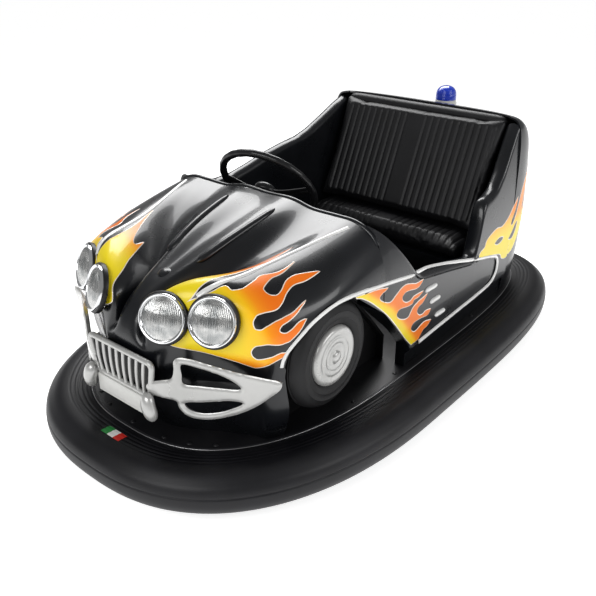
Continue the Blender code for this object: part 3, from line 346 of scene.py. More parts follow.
def inside(points, loops):
    """Which points lie inside the loops, a hole being a loop in a loop."""
    points = np.asarray(points, float)
    result = np.zeros(len(points), bool)
    for loop in loops:
        x0, y0 = np.array([(p[0], p[1]) for p in loop]).T
        x1, y1 = np.roll(x0, -1), np.roll(y0, -1)
        px, py = points[:, :1], points[:, 1:2]
        crosses = ((y0 > py) != (y1 > py))
        reach = (x1 - x0) * (py - y0) / np.where(y1 == y0, 1e-12, y1 - y0) + x0
        result ^= (np.sum(crosses & (px < reach), axis=1) % 2).astype(bool)
    return result


def filled(loops, spacing):
    """An even triangle mesh in flat loops of (a, b) points."""
    edge_points, edges = [], []
    for loop in loops:
        first = len(edge_points)
        edge_points += [(p[0], p[1]) for p in loop]
        edges += [(first + k, first + (k + 1) % len(loop)) for k in range(len(loop))]
    border = np.array(edge_points)
    low, high = border.min(0), border.max(0)
    across = np.arange(low[0], high[0], spacing[0])
    up = np.arange(low[1], high[1], spacing[1])
    dots = np.array([(a + (j % 2) * spacing[0] / 2, b) for j, b in enumerate(up) for a in across])
    dots = dots[inside(dots, loops)]
    scaled = (dots[:, None] - border[None]) / np.array(spacing)
    dots = dots[(np.sqrt((scaled ** 2).sum(2)).min(1) > 0.45)]
    points = [Vector(p) for p in edge_points] + [Vector(p) for p in dots]
    verts, _, faces, *_ = delaunay_2d_cdt(points, edges, [], 0, 1e-7)
    centres = [sum((verts[i] for i in face), Vector((0, 0))) / len(face) for face in faces]
    kept = inside([tuple(c) for c in centres], loops)
    return verts, [tuple(face) for face, keep in zip(faces, kept) if keep]


# %% [markdown]
# ## Beads, turned pieces and tubes
# Trim lines stand a few millimetres proud of the moulding. A curve with a bevel would hang free of the
# surface, so each bead takes its place and its normal from the skin below it. Round pieces are a profile
# that is turned about an axis, and rails are tubes along a path.

# %% Beads along a surface


def bead(places, normals, half_width, proud, closed=False, sunk=0.0006, sides=6):
    """Verts and faces of a rounded bead on a surface. half_width is a number or one for each place."""
    count = len(places)
    widths = half_width if hasattr(half_width, "__len__") else [half_width] * count
    verts, faces = [], []
    for i in range(count):
        before = places[i - 1] if (i or closed) else places[i]
        after = places[(i + 1) % count] if (i + 1 < count or closed) else places[i]
        way = (after - before).normalized()
        across = normals[i].cross(way).normalized()
        rise = proud * (widths[i] / max(widths)) ** 0.5
        for k in range(sides + 1):
            angle = math.pi * k / sides
            verts.append(places[i] + across * widths[i] * math.cos(angle)
                         + normals[i] * (rise * math.sin(angle) - sunk))
    ring = sides + 1
    for i in range(count if closed else count - 1):
        j = (i + 1) % count
        for k in range(ring):
            m = (k + 1) % ring
            faces.append((i * ring + k, i * ring + m, j * ring + m, j * ring + k))
    if not closed:
        faces.append(tuple(reversed(range(ring))))
        faces.append(tuple(range((count - 1) * ring, count * ring)))
    return verts, faces


def joined(name, shapes):
    """One mesh of several (verts, faces) shapes."""
    verts, faces = [], []
    for more_verts, more_faces in shapes:
        base = len(verts)
        verts += more_verts
        faces += [tuple(base + i for i in face) for face in more_faces]
    return outward(mesh_from(name, verts, faces))


def shape_of(mesh):
    return [v.co.copy() for v in mesh.vertices], [tuple(p.vertices) for p in mesh.polygons]


def mirrored(mesh):
    """A copy of the mesh on the car's other side, with all that its points carry."""
    copy = mesh.copy()
    copy.transform(Matrix.Scale(-1, 4, (1, 0, 0)))
    copy.flip_normals()
    return copy


def both_sides(mesh):
    """The mesh and its mirror image across the car's middle."""
    verts, faces = shape_of(mesh)
    return joined(mesh.name, [(verts, faces), ([Vector((-v.x, v.y, v.z)) for v in verts],
                                               [tuple(reversed(face)) for face in faces])])


# %% Turned pieces and tubes


def turned(profile, steps, along, centre):
    """A solid turned about an axis from (radius, height) points, outer side first from the top."""
    turn = Vector(along).to_track_quat("Z", "Y").to_matrix()
    verts, faces = [], []
    for k in range(steps):
        angle = 2 * math.pi * k / steps
        for radius, height in profile:
            spoke = Vector((radius * math.cos(angle), radius * math.sin(angle), height))
            verts.append(Vector(centre) + turn @ spoke)
    count = len(profile)
    for k in range(steps):
        m = (k + 1) % steps
        for i in range(count):
            j = (i + 1) % count
            if profile[i][0] < 1e-6 and profile[j][0] < 1e-6:
                continue
            faces.append((k * count + i, k * count + j, m * count + j, m * count + i))
    mesh = mesh_from("turned", verts, faces)
    bm = bmesh.new()
    bm.from_mesh(mesh)
    bmesh.ops.remove_doubles(bm, verts=bm.verts, dist=1e-5)
    bmesh.ops.dissolve_degenerate(bm, dist=1e-6, edges=bm.edges)
    bmesh.ops.recalc_face_normals(bm, faces=bm.faces)
    bm.to_mesh(mesh)
    bm.free()
    return mesh


def tube(path, radius, sides=10, closed=False, flatten=1.0, up=Vector((0, 0, 1))):
    """Verts and faces of a round or flattened tube along a path. radius is a number or one for each point."""
    count = len(path)
    radii = radius if hasattr(radius, "__len__") else [radius] * count
    verts, faces = [], []
    for i in range(count):
        before = path[i - 1] if (i or closed) else path[i]
        after = path[(i + 1) % count] if (i + 1 < count or closed) else path[i]
        way = (after - before).normalized()
        across = way.cross(up)
        across = across.normalized() if across.length > 1e-4 else way.orthogonal().normalized()
        rise = across.cross(way)
        for k in range(sides):
            angle = 2 * math.pi * k / sides
            verts.append(path[i] + across * radii[i] * math.cos(angle)
                         + rise * radii[i] * flatten * math.sin(angle))
    for i in range(count if closed else count - 1):
        j = (i + 1) % count
        for k in range(sides):
            m = (k + 1) % sides
            faces.append((i * sides + k, i * sides + m, j * sides + m, j * sides + k))
    if not closed:
        faces.append(tuple(reversed(range(sides))))
        faces.append(tuple(range((count - 1) * sides, count * sides)))
    return verts, faces


# %% [markdown]
# ## Cutters
# Openings are cut with Booleans, as a moulder trims a shell with a saw. The cutter is a loose mesh that
# is removed once the cut is baked, so nothing of it stays in the model.

# %% Cutters


def block(size, centre):
    bm = bmesh.new()
    bmesh.ops.create_cube(bm, size=1.0, matrix=Matrix.Translation(centre) @ Matrix.Diagonal((*size, 1.0)))
    mesh = bpy.data.meshes.new("block")
    bm.to_mesh(mesh)
    bm.free()
    return mesh


def cut_with(rough, meshes):
    """Cut meshes out of a rough object and return the baked result."""
    cutters = [loose(f"cutter_{k}", mesh) for k, mesh in enumerate(meshes)]
    for cutter in cutters:
        step = rough.modifiers.new(cutter.name, "BOOLEAN")
        step.operation = "DIFFERENCE"
        step.solver = "MANIFOLD"
        step.object = cutter
    return baked(rough, *cutters)


# %% [markdown]
# ## Sizes that the skins share with the frame
# The frame holds faceted solids. The fine skins follow the same stations and outlines, so they sit where
# the solids sit, only smoother. These are the driving sizes of the body.

# %% Body sizes
DECK_TOP, SHELL, WALL, FIT = 0.158, 0.006, 0.050, 0.0003
COWL_Y, TAIL_SPLIT_Y = -0.268, 0.575
HUB_Y, HUB_Z = -0.478, 0.367
ARCH_R, ARCH_FOOT_Y, ARCH_FRONT_LEAN = 0.163, -0.112, 0.035
ROCKER_TOP, ROCKER_INSET = 0.228, 0.018
LAMP_BUCKET_R, LAMP_PROUD = 0.050, 0.012
LAMP_TOE, LAMP_TILT = math.radians(22), math.radians(19)
LAMP_CENTRES = {"inner": Vector((0.130, -0.795, 0.511)), "outer": Vector((0.250, -0.740, 0.520))}


def between(table, value):
    for (x0, y0), (x1, y1) in zip(table, table[1:]):
        if value <= x1:
            return y0 + (y1 - y0) * max(0.0, (value - x0) / (x1 - x0))
    return table[-1][1]


def ease(t):
    t = min(1.0, max(0.0, t))
    return t * t * (3 - 2 * t)


# %% [markdown]
# ## The cove in each side
# A long shallow panel is pressed into each side, and a pale bead runs round it, from the front of the
# wheel arch over the tyre and back along the door. The recess is 5 mm deep. Its step hides under the
# bead.

# %% Cove outline
# (y, z) along the bead, from the front foot of the arch round to the rear foot
COVE_LINE = [(-0.652, 0.395), (-0.641, 0.430), (-0.603, 0.471), (-0.556, 0.500), (-0.476, 0.523),
             (-0.39, 0.519), (-0.297, 0.505), (-0.198, 0.490), (-0.091, 0.470), (0.089, 0.433),
             (0.296, 0.382), (0.440, 0.345), (0.483, 0.322), (0.490, 0.285), (0.467, 0.251), (0.403, 0.236),
             (0.126, 0.232), (-0.100, 0.227)]
COVE_DEPTH = 0.005
cove_bead = [(p.x, p.y) for p in smooth_line([(*p, 0.0) for p in COVE_LINE], 8)]
cove_loop = np.array(cove_bead)


def cove_depth(y, z):
    """How deep the side is pressed in at a place: full a few millimetres inside the bead."""
    if not (-0.66 < y < 0.50 and 0.22 < z < 0.54) or not inside([(y, z)], [cove_bead])[0]:
        return 0.0
    gap = np.sqrt(((cove_loop - (y, z)) ** 2).sum(1)).min()
    return COVE_DEPTH * ease(gap / 0.006)


# %% [markdown]
# ## Front body
# The bonnet, the two lamp pods and the wings are one moulding. Ten stations run from the cowl to the foot
# of the nose, each with nine points on the left half, and a smooth surface goes through them all.
# Solidify gives the sheet its thickness, and Booleans open the wheel arches, the cowl and the lamp seats.

# %% Stations of the front body
# columns: centre, rib, trough, pod_side, pod_top, shoulder, side_high, side_mid, side_low
FRONT_STATIONS = [
    [(0, -0.235, 0.678), (0.093, -0.235, 0.679), (0.17, -0.235, 0.668), (0.26, -0.235, 0.668),
     (0.325, -0.235, 0.664), (0.375, -0.235, 0.640), (0.408, -0.235, 0.590), (0.427, -0.235, 0.520),
     (0.432, -0.235, 0.380)],
    [(0, -0.36, 0.650), (0.091, -0.36, 0.657), (0.165, -0.36, 0.637), (0.24, -0.36, 0.638),
     (0.303, -0.36, 0.643), (0.365, -0.36, 0.625), (0.405, -0.36, 0.582), (0.427, -0.36, 0.525),
     (0.435, -0.36, 0.400)],
    [(0, -0.50, 0.610), (0.079, -0.50, 0.621), (0.143, -0.50, 0.585), (0.20, -0.50, 0.590),
     (0.268, -0.50, 0.618), (0.345, -0.50, 0.605), (0.395, -0.50, 0.565), (0.424, -0.50, 0.515),
     (0.434, -0.50, 0.400)],
    [(0, -0.62, 0.572), (0.058, -0.62, 0.578), (0.098, -0.62, 0.525), (0.140, -0.62, 0.545),
     (0.212, -0.62, 0.600), (0.300, -0.61, 0.595), (0.362, -0.60, 0.558), (0.404, -0.59, 0.500),
     (0.426, -0.56, 0.400)],
    [(0, -0.72, 0.540), (0.042, -0.72, 0.538), (0.064, -0.705, 0.480), (0.078, -0.715, 0.525),
     (0.145, -0.725, 0.592), (0.245, -0.690, 0.596), (0.325, -0.665, 0.560), (0.382, -0.650, 0.485),
     (0.418, -0.57, 0.390)],
    [(0, -0.79, 0.498), (0.036, -0.788, 0.494), (0.053, -0.765, 0.455), (0.062, -0.795, 0.515),
     (0.125, -0.782, 0.560), (0.245, -0.728, 0.566), (0.328, -0.690, 0.535), (0.380, -0.665, 0.455),
     (0.414, -0.57, 0.370)],
    [(0, -0.822, 0.448), (0.035, -0.820, 0.446), (0.055, -0.805, 0.437), (0.070, -0.812, 0.460),
     (0.138, -0.798, 0.470), (0.252, -0.745, 0.478), (0.328, -0.700, 0.460), (0.378, -0.668, 0.410),
     (0.412, -0.57, 0.330)],
    [(0, -0.830, 0.395), (0.045, -0.829, 0.395), (0.080, -0.826, 0.395), (0.105, -0.815, 0.400),
     (0.155, -0.790, 0.405), (0.245, -0.745, 0.405), (0.320, -0.700, 0.395), (0.374, -0.668, 0.350),
     (0.408, -0.57, 0.290)],
    [(0, -0.812, 0.290), (0.045, -0.811, 0.290), (0.085, -0.808, 0.290), (0.120, -0.795, 0.290),
     (0.170, -0.770, 0.290), (0.245, -0.728, 0.290), (0.315, -0.690, 0.285), (0.368, -0.665, 0.260),
     (0.402, -0.57, 0.230)],
    [(0, -0.775, 0.140), (0.045, -0.774, 0.140), (0.085, -0.770, 0.140), (0.125, -0.757, 0.140),
     (0.175, -0.728, 0.140), (0.235, -0.690, 0.140), (0.290, -0.660, 0.140), (0.330, -0.645, 0.140),
     (0.362, -0.57, 0.140)]]
front_rows = [[Vector(p) for p in station] for station in FRONT_STATIONS]
LAST_LINE, LAST_STATION = len(FRONT_STATIONS[0]) - 1, len(FRONT_STATIONS) - 1
print(len(FRONT_STATIONS), "stations of", len(FRONT_STATIONS[0]), "points")

# %% [markdown]
# ## Openings in the body
# The moulding is open over each wheel and behind each lamp. The wheel opening is one outline, used by the
# front moulding and the side wall alike, so that the two cuts run into each other without a step.

# %% Points of the front body and its openings


def on_front(line, station):
    """A point of the front surface, by its line (0 centre to 8 side) and station (0 cowl to 9 foot)."""
    return curve_at([curve_at(row, line, mirrored=True) for row in front_rows], station)


def wheel_opening():
    """Outline of the wheel opening in (y, z): a round arch with a long sloping rear edge."""
    arc = [(HUB_Y - ARCH_R * math.cos(math.radians(a)), HUB_Z + ARCH_R * math.sin(math.radians(a)))
           for a in range(0, 133, 4)]
    below = DECK_TOP - 0.02
    slope = [(ARCH_FOOT_Y - 0.150, 0.408), (ARCH_FOOT_Y - 0.066, 0.315), (ARCH_FOOT_Y, 0.236)]
    return [(HUB_Y - ARCH_R + ARCH_FRONT_LEAN, below), *arc, *slope, (ARCH_FOOT_Y, below)]


def opening_prism(side):
    outline = wheel_opening()
    rows = [[Vector((x, y, z)) for y, z in outline] for x in sorted((side * 0.28, side * 0.60))]
    return outward(rows_mesh("opening", rows, around=True))


def lamp_axis(side):
    """The way a headlamp on one side looks."""
    return Vector((side * math.sin(LAMP_TOE) * math.cos(LAMP_TILT), -math.cos(LAMP_TOE) * math.cos(LAMP_TILT),
                   math.sin(LAMP_TILT)))


# %% [markdown]
# ## The front moulding
# A real shell comes out of one mould, so its reflections run on without a break. The net through the
# stations is relaxed a few times to get that, then it is mirrored, thickened and cut. Subdivision would
# drift away from the stations, and relaxing a fine net keeps nearly all of them.

# %% Build the front body
NET_STEPS, RELAX_ROUNDS, COVE_SIDE_X = 9, 5, 0.36
net_stations = [k / NET_STEPS for k in range(LAST_STATION * NET_STEPS + 1)]
net_lines = [k / NET_STEPS for k in range(LAST_LINE * NET_STEPS + 1)]
front_net = np.array([[tuple(on_front(line, station)) for station in net_stations] for line in net_lines])
for _ in range(RELAX_ROUNDS):
    wide = np.concatenate([front_net[1:2] * (-1, 1, 1), front_net], axis=0)
    around = wide[:-2, 1:-1] + wide[2:, 1:-1] + wide[1:-1, :-2] + wide[1:-1, 2:]
    front_net[:-1, 1:-1] = wide[1:-1, 1:-1] * 0.5 + around * 0.125
front_net[0, :, 0] = 0.0
for column in front_net:
    for point in column:
        if point[0] > COVE_SIDE_X:
            point[0] -= cove_depth(point[1], point[2])
left_half = rows_mesh("front_skin", [[Vector(p) for p in column] for column in front_net])
front_rough = loose("front_rough", left_half)
halves = front_rough.modifiers.new("halves", "MIRROR")
halves.merge_threshold = 0.0001
thickened(front_rough, SHELL)
seat_profile = [(LAMP_BUCKET_R + FIT, 0.05), (LAMP_BUCKET_R + FIT, -0.03), (0.0, -0.03), (0.0, 0.05)]
seat_cuts = [turned(seat_profile, 48, lamp_axis(side), Vector((side * c.x, c.y, c.z)))
             for side in (-1, 1) for c in LAMP_CENTRES.values()]
front_skin = cut_with(front_rough, [block((1.2, 0.2, 1.0), (0, COWL_Y + 0.1, 0.5)),
                                    block((1.2, 1.2, 0.2), (0, -0.6, DECK_TOP + FIT - 0.1)),
                                    opening_prism(1), opening_prism(-1), *seat_cuts])
show("front_moulding", front_skin, FINISHES["gloss_black_body"], stands_for=["front_body"],
     sharp=50)

# %% [markdown]
# ## Side walls
# The walls are thick hollow mouldings with a round top edge. The left one dips low for getting in. A loop
# of points is worked out at every 5 mm along the car and skinned into a closed wall.

# %% Wall tables
# height of the walls' top edge at stations (y, z) from the cowl back to the seat
LOW_WALL = [(-0.2677, 0.655), (-0.235, 0.634), (-0.205, 0.607), (-0.178, 0.578), (-0.150, 0.547),
            (-0.120, 0.512), (-0.095, 0.482), (-0.070, 0.466), (0.0, 0.452), (0.100, 0.432), (0.200, 0.410),
            (0.284, 0.392), (0.298, 0.420), (0.314, 0.480), (0.330, 0.545), (0.350, 0.572), (0.390, 0.578),
            (0.430, 0.592), (0.480, 0.638), (0.530, 0.710), (0.560, 0.757), (0.5742, 0.778)]
HIGH_WALL = [(-0.2677, 0.655), (-0.200, 0.622), (-0.120, 0.600), (-0.040, 0.602), (0.040, 0.620),
             (0.130, 0.645), (0.220, 0.661), (0.300, 0.670), (0.360, 0.688), (0.430, 0.719), (0.520, 0.760),
             (0.5742, 0.778)]
WALL_STEP = 0.005

# %% Build the side walls


def body_half_width(y):
    return between([(-0.48, 0.434), (-0.235, 0.432), (0.0, 0.425), (0.30, 0.415), (TAIL_SPLIT_Y, 0.402)], y)


def side_x(y, z):
    """Distance of the side wall's outer face from the middle: upright below, leaning in above."""
    lean = between([(-0.268, 0.0300), (0.0, 0.0220), (0.30, 0.0120), (TAIL_SPLIT_Y, 0.0035)], y)
    above = max(0.0, (z - 0.45) / 0.15)
    below = max(0.0, (ROCKER_TOP - z) / (ROCKER_TOP - DECK_TOP))
    return body_half_width(y) - lean * above ** 2 - ROCKER_INSET * ease(below * 2.5)


def wall_loop(side, y, top):
    floor = DECK_TOP + FIT
    inner_top = side_x(y, top - 0.02) - WALL
    radius = WALL / 2
    shoulder = top - radius
    points = []
    for k in range(13):
        z = floor + (shoulder - floor) * k / 12
        low_x = body_half_width(y) - WALL
        points.append((low_x + (inner_top - low_x) * ease((z - 0.24) / 0.14), z))
    for k in range(1, 12):
        angle = math.pi * (1 - k / 12)
        points.append((inner_top + radius + radius * math.cos(angle), shoulder + radius * math.sin(angle)))
    for k in range(72, -1, -1):
        z = floor + (shoulder - floor) * k / 72
        points.append((side_x(y, z) - cove_depth(y, z), z))
    return [Vector((side * x, y, z)) for x, z in points]


def wall_mesh(side, table):
    first, last = table[0][0], table[-1][0]
    count = round((last - first) / WALL_STEP)
    ys = [first + (last - first) * k / count for k in range(count + 1)]
    tops = np.array([between(table, y) for y in ys])
    for _ in range(6):
        tops[1:-1] = tops[1:-1] * 0.5 + (tops[:-2] + tops[2:]) * 0.25
    wall = outward(rows_mesh("wall", [wall_loop(side, y, top) for y, top in zip(ys, tops)], around=True))
    return cut_with(loose("wall_rough", wall), [opening_prism(side)])


left_wall = wall_mesh(1, LOW_WALL)
right_wall = wall_mesh(-1, HIGH_WALL)
show("side_moulding_left", left_wall, FINISHES["gloss_black_body"],
     stands_for=["side_panel_left"])
show("side_moulding_right", right_wall, FINISHES["gloss_black_body"],
     stands_for=["side_panel_right"])

# %% [markdown]
# ## Tail
# The tail is one thin shell behind the seat, round in plan and swollen at the rump. A stack of U-shaped
# outlines gives it, each a half superellipse, because two numbers then set how square each level's
# corners are.

# %% Tail skin
# (height, half width, how far back it reaches)
TAIL_SECTIONS = [(0.797, 0.345, 0.612), (0.790, 0.370, 0.655), (0.774, 0.384, 0.705), (0.750, 0.392, 0.755),
                 (0.715, 0.397, 0.792), (0.660, 0.400, 0.815), (0.560, 0.402, 0.835), (0.400, 0.402, 0.845),
                 (0.250, 0.395, 0.830), (DECK_TOP + FIT, 0.385, 0.800)]
TAIL_CORNER = 2.7
TAIL_POINTS = 120


def tail_row(height, half, reach):
    row = []
    for k in range(TAIL_POINTS + 1):
        angle = math.pi * k / TAIL_POINTS
        across = math.copysign(abs(math.cos(angle)) ** (2 / TAIL_CORNER), math.cos(angle))
        along = math.sin(angle) ** (2 / TAIL_CORNER) if 0 < k < TAIL_POINTS else 0.0
        row.append(Vector((half * across, TAIL_SPLIT_Y + (reach - TAIL_SPLIT_Y) * along, height)))
    return row


tail_stack = smooth_line(TAIL_SECTIONS, 7)
tail_sheet = rows_mesh("tail", [tail_row(*section) for section in tail_stack])
tail_sheet.flip_normals()
tail_skin = baked(thickened(loose("tail_rough", tail_sheet), SHELL))
show("tail_moulding", tail_skin, FINISHES["gloss_black_body"], stands_for=["rear_body"])

# %% [markdown]
# ## Where the trim lies
# Beads and flames are laid on the finished skins, so they follow every swelling. A ray finds the place. A
# Shrinkwrap modifier could do it too, but a ray also gives the normal that a bead stands on.

# %% Surfaces to lay trim on
skins = [shape_of(front_skin), shape_of(left_wall), shape_of(tail_skin)]
all_verts, all_faces = [], []
for verts, faces in skins:
    base = len(all_verts)
    all_verts += verts
    all_faces += [tuple(base + i for i in face) for face in faces]
body_tree = BVHTree.FromPolygons(all_verts, all_faces)
INNER_SIDE_X = 0.30
print(len(all_faces), "faces to lay trim on")


def on_side(y, z):
    """The left side's outer face at a place, and the way it looks."""
    hit, normal, *_ = body_tree.ray_cast(Vector((0.7, y, z)), Vector((-1, 0, 0)))
    if hit is None or hit.x < INNER_SIDE_X:
        hit, normal, *_ = body_tree.find_nearest(Vector((side_x(y, z), y, z)))
    if normal.x < 0:
        normal = Vector((1, 0, 0))
    return hit, normal


def on_nose(line, station):
    """The front moulding's outer face at a line and station, and the way it looks."""
    target = on_front(line, station)
    sideways = on_front(min(LAST_LINE, line + 0.05), station) - on_front(max(0.0, line - 0.05), station)
    forward = on_front(line, min(LAST_STATION, station + 0.05)) - on_front(line, max(0.0, station - 0.05))
    guess = sideways.cross(forward).normalized() * -1
    if guess.z < 0 and guess.y > 0:
        guess = -guess
    hit, normal, *_ = body_tree.ray_cast(target + guess * 0.02, -guess, 0.04)
    if hit is None:
        return target, guess
    return hit, normal if normal.dot(guess) > 0 else guess


# %% [markdown]
# ## Pale beads
# The trim is a pale painted bead on a raised edge of the moulding, 14 mm wide round the cove. A spear
# runs down the crease of each wing, from the cowl to between the lamps, and grows a little on its way.

# %% Cove bead, spear and vents


def on_top(x, y):
    """The upper face of the body at a place in plan, and the way it looks."""
    hit, normal, *_ = body_tree.ray_cast(Vector((x, y, 1.0)), Vector((0, 0, -1)))
    return hit, normal if normal.z > 0 else -normal


def eased(places, reach=3):
    """Places and normals averaged along a line, so that a bead runs over small steps."""
    soft = []
    for i in range(len(places)):
        near = places[max(0, i - reach):i + reach + 1]
        soft.append((sum((p for p, n in near), Vector()) / len(near), sum((n for p, n in near), Vector())))
    return [(p, n.normalized()) for p, n in soft]


def beside_cove(y, z):
    """The side's face as it would be with no recess."""
    place_at, normal = on_side(y, z)
    return Vector((max(place_at.x + cove_depth(y, z), place_at.x), y, z)), Vector((1.0, 0.0, 0.35 * normal.z))


# %% Lay the beads
COVE_BEAD, SPEAR_BEAD, BEAD_PROUD = 0.0068, (0.0062, 0.0084), 0.0045
cove_places = eased([beside_cove(y, z) for y, z in cove_bead])
cove_shape = bead([p for p, n in cove_places], [n for p, n in cove_places], COVE_BEAD, BEAD_PROUD)
# (x, y) down the crease of the wing, seen from above
SPEAR = [(0.325, -0.290), (0.306, -0.360), (0.279, -0.452), (0.257, -0.544), (0.242, -0.641), (0.220, -0.712),
         (0.196, -0.752)]
spear_line = smooth_line([(*p, 0.0) for p in SPEAR], 8)
spear_places = eased([on_top(p.x, p.y) for p in spear_line])
spear_widths = np.linspace(*SPEAR_BEAD, len(spear_line))
spear_shape = bead([p for p, n in spear_places], [n for p, n in spear_places], list(spear_widths), BEAD_PROUD)

# %% [markdown]
# ## Vent bars
# Three short pale bars stand in the cove behind the flames, like the vents of an old sports car. Each is
# a bead that swells from blunt ends, because a plain capsule would not follow the curved side.

# %% Vent bars
VENT_HALF, VENT_PROUD, VENT_PLACES = 0.0092, 0.0075, 14
# (y, z) of the two ends of each vent bar
VENTS = [((-0.036, 0.392), (0.036, 0.388)), ((0.000, 0.340), (0.064, 0.337)), ((0.042, 0.277), (0.106, 0.273))]
vent_shapes = []
for (y0, z0), (y1, z1) in VENTS:
    shares = [k / VENT_PLACES for k in range(VENT_PLACES + 1)]
    spots = [on_side(y0 + (y1 - y0) * t, z0 + (z1 - z0) * t) for t in shares]
    swell = [VENT_HALF * math.sqrt(max(0.02, 1 - abs(2 * t - 1) ** 6)) for t in shares]
    vent_shapes.append(bead([p for p, n in spots], [n for p, n in spots], swell, VENT_PROUD, sides=10))
pale_trim = both_sides(joined("pale_trim", [cove_shape, spear_shape, *vent_shapes]))
show("pale_beads_and_vents", pale_trim, pale_line_paint)

# %% [markdown]
# ## Bonnet ribs, cowl bead and boss
# Two raised ribs run down the bonnet, a rolled edge closes it at the cowl, and a small round boss sits
# above the nose. They are black like the body and show only by their highlights, so they are real
# geometry and not bump.

# %% Bonnet ribs
RIB_LINE, RIB_FROM, RIB_TO = 1.0, 0.85, 2.95
RIB_HALF, RIB_SPREAD, RIB_PROUD, RIB_PLACES = 0.0095, 0.0045, 0.0095, 30
rib_shares = [k / RIB_PLACES for k in range(RIB_PLACES + 1)]
rib_spots = [on_nose(RIB_LINE, RIB_FROM + (RIB_TO - RIB_FROM) * t) for t in rib_shares]
rib_widths = [(RIB_HALF + RIB_SPREAD * t) * math.sqrt(max(0.02, 1 - abs(2 * t - 1) ** 8)) for t in rib_shares]
rib_shape = bead([p for p, n in rib_spots], [n for p, n in rib_spots], rib_widths, RIB_PROUD, sides=12)
ribs = both_sides(joined("ribs", [rib_shape]))
show("bonnet_ribs", ribs, FINISHES["gloss_black_body"])

# %% Cowl bead and boss
COWL_LAST_LINE, COWL_PLACES, COWL_BEAD_R = 5.6, 60, 0.0085
cowl_half = []
for k in range(COWL_PLACES + 1):
    line = COWL_LAST_LINE * k / COWL_PLACES
    low, high = 0.0, 1.0
    for _ in range(14):                              # halve towards the cowl's edge on this line
        middle = (low + high) / 2
        if on_front(line, middle).y > COWL_Y:
            low = middle
        else:
            high = middle
    cowl_half.append(on_front(line, low) + Vector((0, 0.001, -0.004)))
cowl_path = [Vector((-p.x, p.y, p.z)) for p in reversed(cowl_half[1:])] + cowl_half
show("cowl_bead", joined("cowl", [tube(cowl_path, COWL_BEAD_R, sides=12)]), FINISHES["gloss_black_body"])
boss_spot, boss_way = on_nose(0.0, 3.55)
boss_profile = [(0.0, 0.006), (0.008, 0.0055), (0.014, 0.0040), (0.018, 0.0015), (0.018, -0.004),
                (0.0, -0.004)]
show("bonnet_boss", turned(boss_profile, 40, boss_way, boss_spot), FINISHES["gloss_black_body"])

# %% [markdown]
# ## Flames
# Each flame is a closed outline with long licks and round bays between them, drawn on the surface itself:
# by line and station on the front moulding, and by y and z on the side. It is filled with an even mesh,
# laid on the skin and given its warmth. A cream pinstripe goes round the edge, as a sign painter finishes
# it.

# %% Flame outlines
# (line, station) and True at a tip
WING_FLAME = [
    (4.40, 5.20), (4.70, 4.90), (4.90, 4.50), (5.00, 4.05), (5.25, 4.15), (5.30, 3.75), (4.90, 3.20),
    (4.68, 2.90), (4.72, 2.60), (4.66, 2.35), (4.50, 2.05, True), (4.80, 2.50), (4.90, 2.80),
    (5.15, 3.10), (5.40, 3.30), (5.65, 3.32), (5.72, 3.15), (5.55, 2.90), (5.20, 2.60), (5.08, 2.35),
    (5.16, 2.10), (5.30, 1.85, True), (5.42, 2.25), (5.44, 2.55), (5.68, 2.85), (6.05, 3.20),
    (6.26, 3.55), (6.24, 4.10), (6.10, 4.75), (6.04, 5.15), (6.15, 5.30), (6.40, 5.00), (6.60, 4.20),
    (6.60, 3.65), (6.55, 3.35), (6.46, 3.00), (6.20, 2.55, True), (6.52, 2.95), (6.68, 3.30),
    (6.76, 3.65), (6.88, 3.85), (7.00, 3.70), (6.98, 3.40), (6.86, 3.05), (6.86, 2.80, True),
    (7.08, 3.15), (7.20, 3.60), (7.20, 3.95), (7.05, 4.50), (6.55, 5.45), (6.15, 5.90), (6.04, 6.20),
    (6.15, 6.40), (6.40, 6.30), (6.90, 5.65), (7.20, 4.90), (7.40, 4.55, True), (7.20, 5.25),
    (6.85, 6.05), (6.35, 6.72), (6.00, 6.88), (5.60, 6.85), (5.15, 6.75), (4.70, 6.65), (4.40, 6.60),
    (4.05, 6.50), (3.85, 6.25), (4.00, 5.60)]
LEFT_POD_FLAME = [
    (2.98, 5.45), (2.92, 4.90), (2.88, 4.35), (2.88, 3.85), (2.92, 3.35), (3.00, 2.90), (3.12, 2.45),
    (3.26, 2.10), (3.46, 1.60, True), (3.64, 2.05), (3.70, 2.40), (3.78, 2.42), (3.82, 2.10),
    (3.88, 1.70, True), (3.96, 2.30), (4.10, 2.80), (4.32, 3.40), (4.54, 4.00), (4.56, 4.80),
    (4.38, 5.25), (3.75, 5.85)]
RIGHT_POD_FLAME = [
    (3.10, 5.45), (3.34, 4.90), (3.46, 4.35), (3.52, 3.85), (3.48, 3.40), (3.40, 2.85, True),
    (3.58, 3.15), (3.72, 3.10), (3.80, 2.70), (3.86, 1.95, True), (3.96, 2.50), (4.10, 2.95),
    (4.32, 3.45), (4.54, 4.00), (4.56, 4.80), (4.38, 5.25), (3.75, 5.85)]
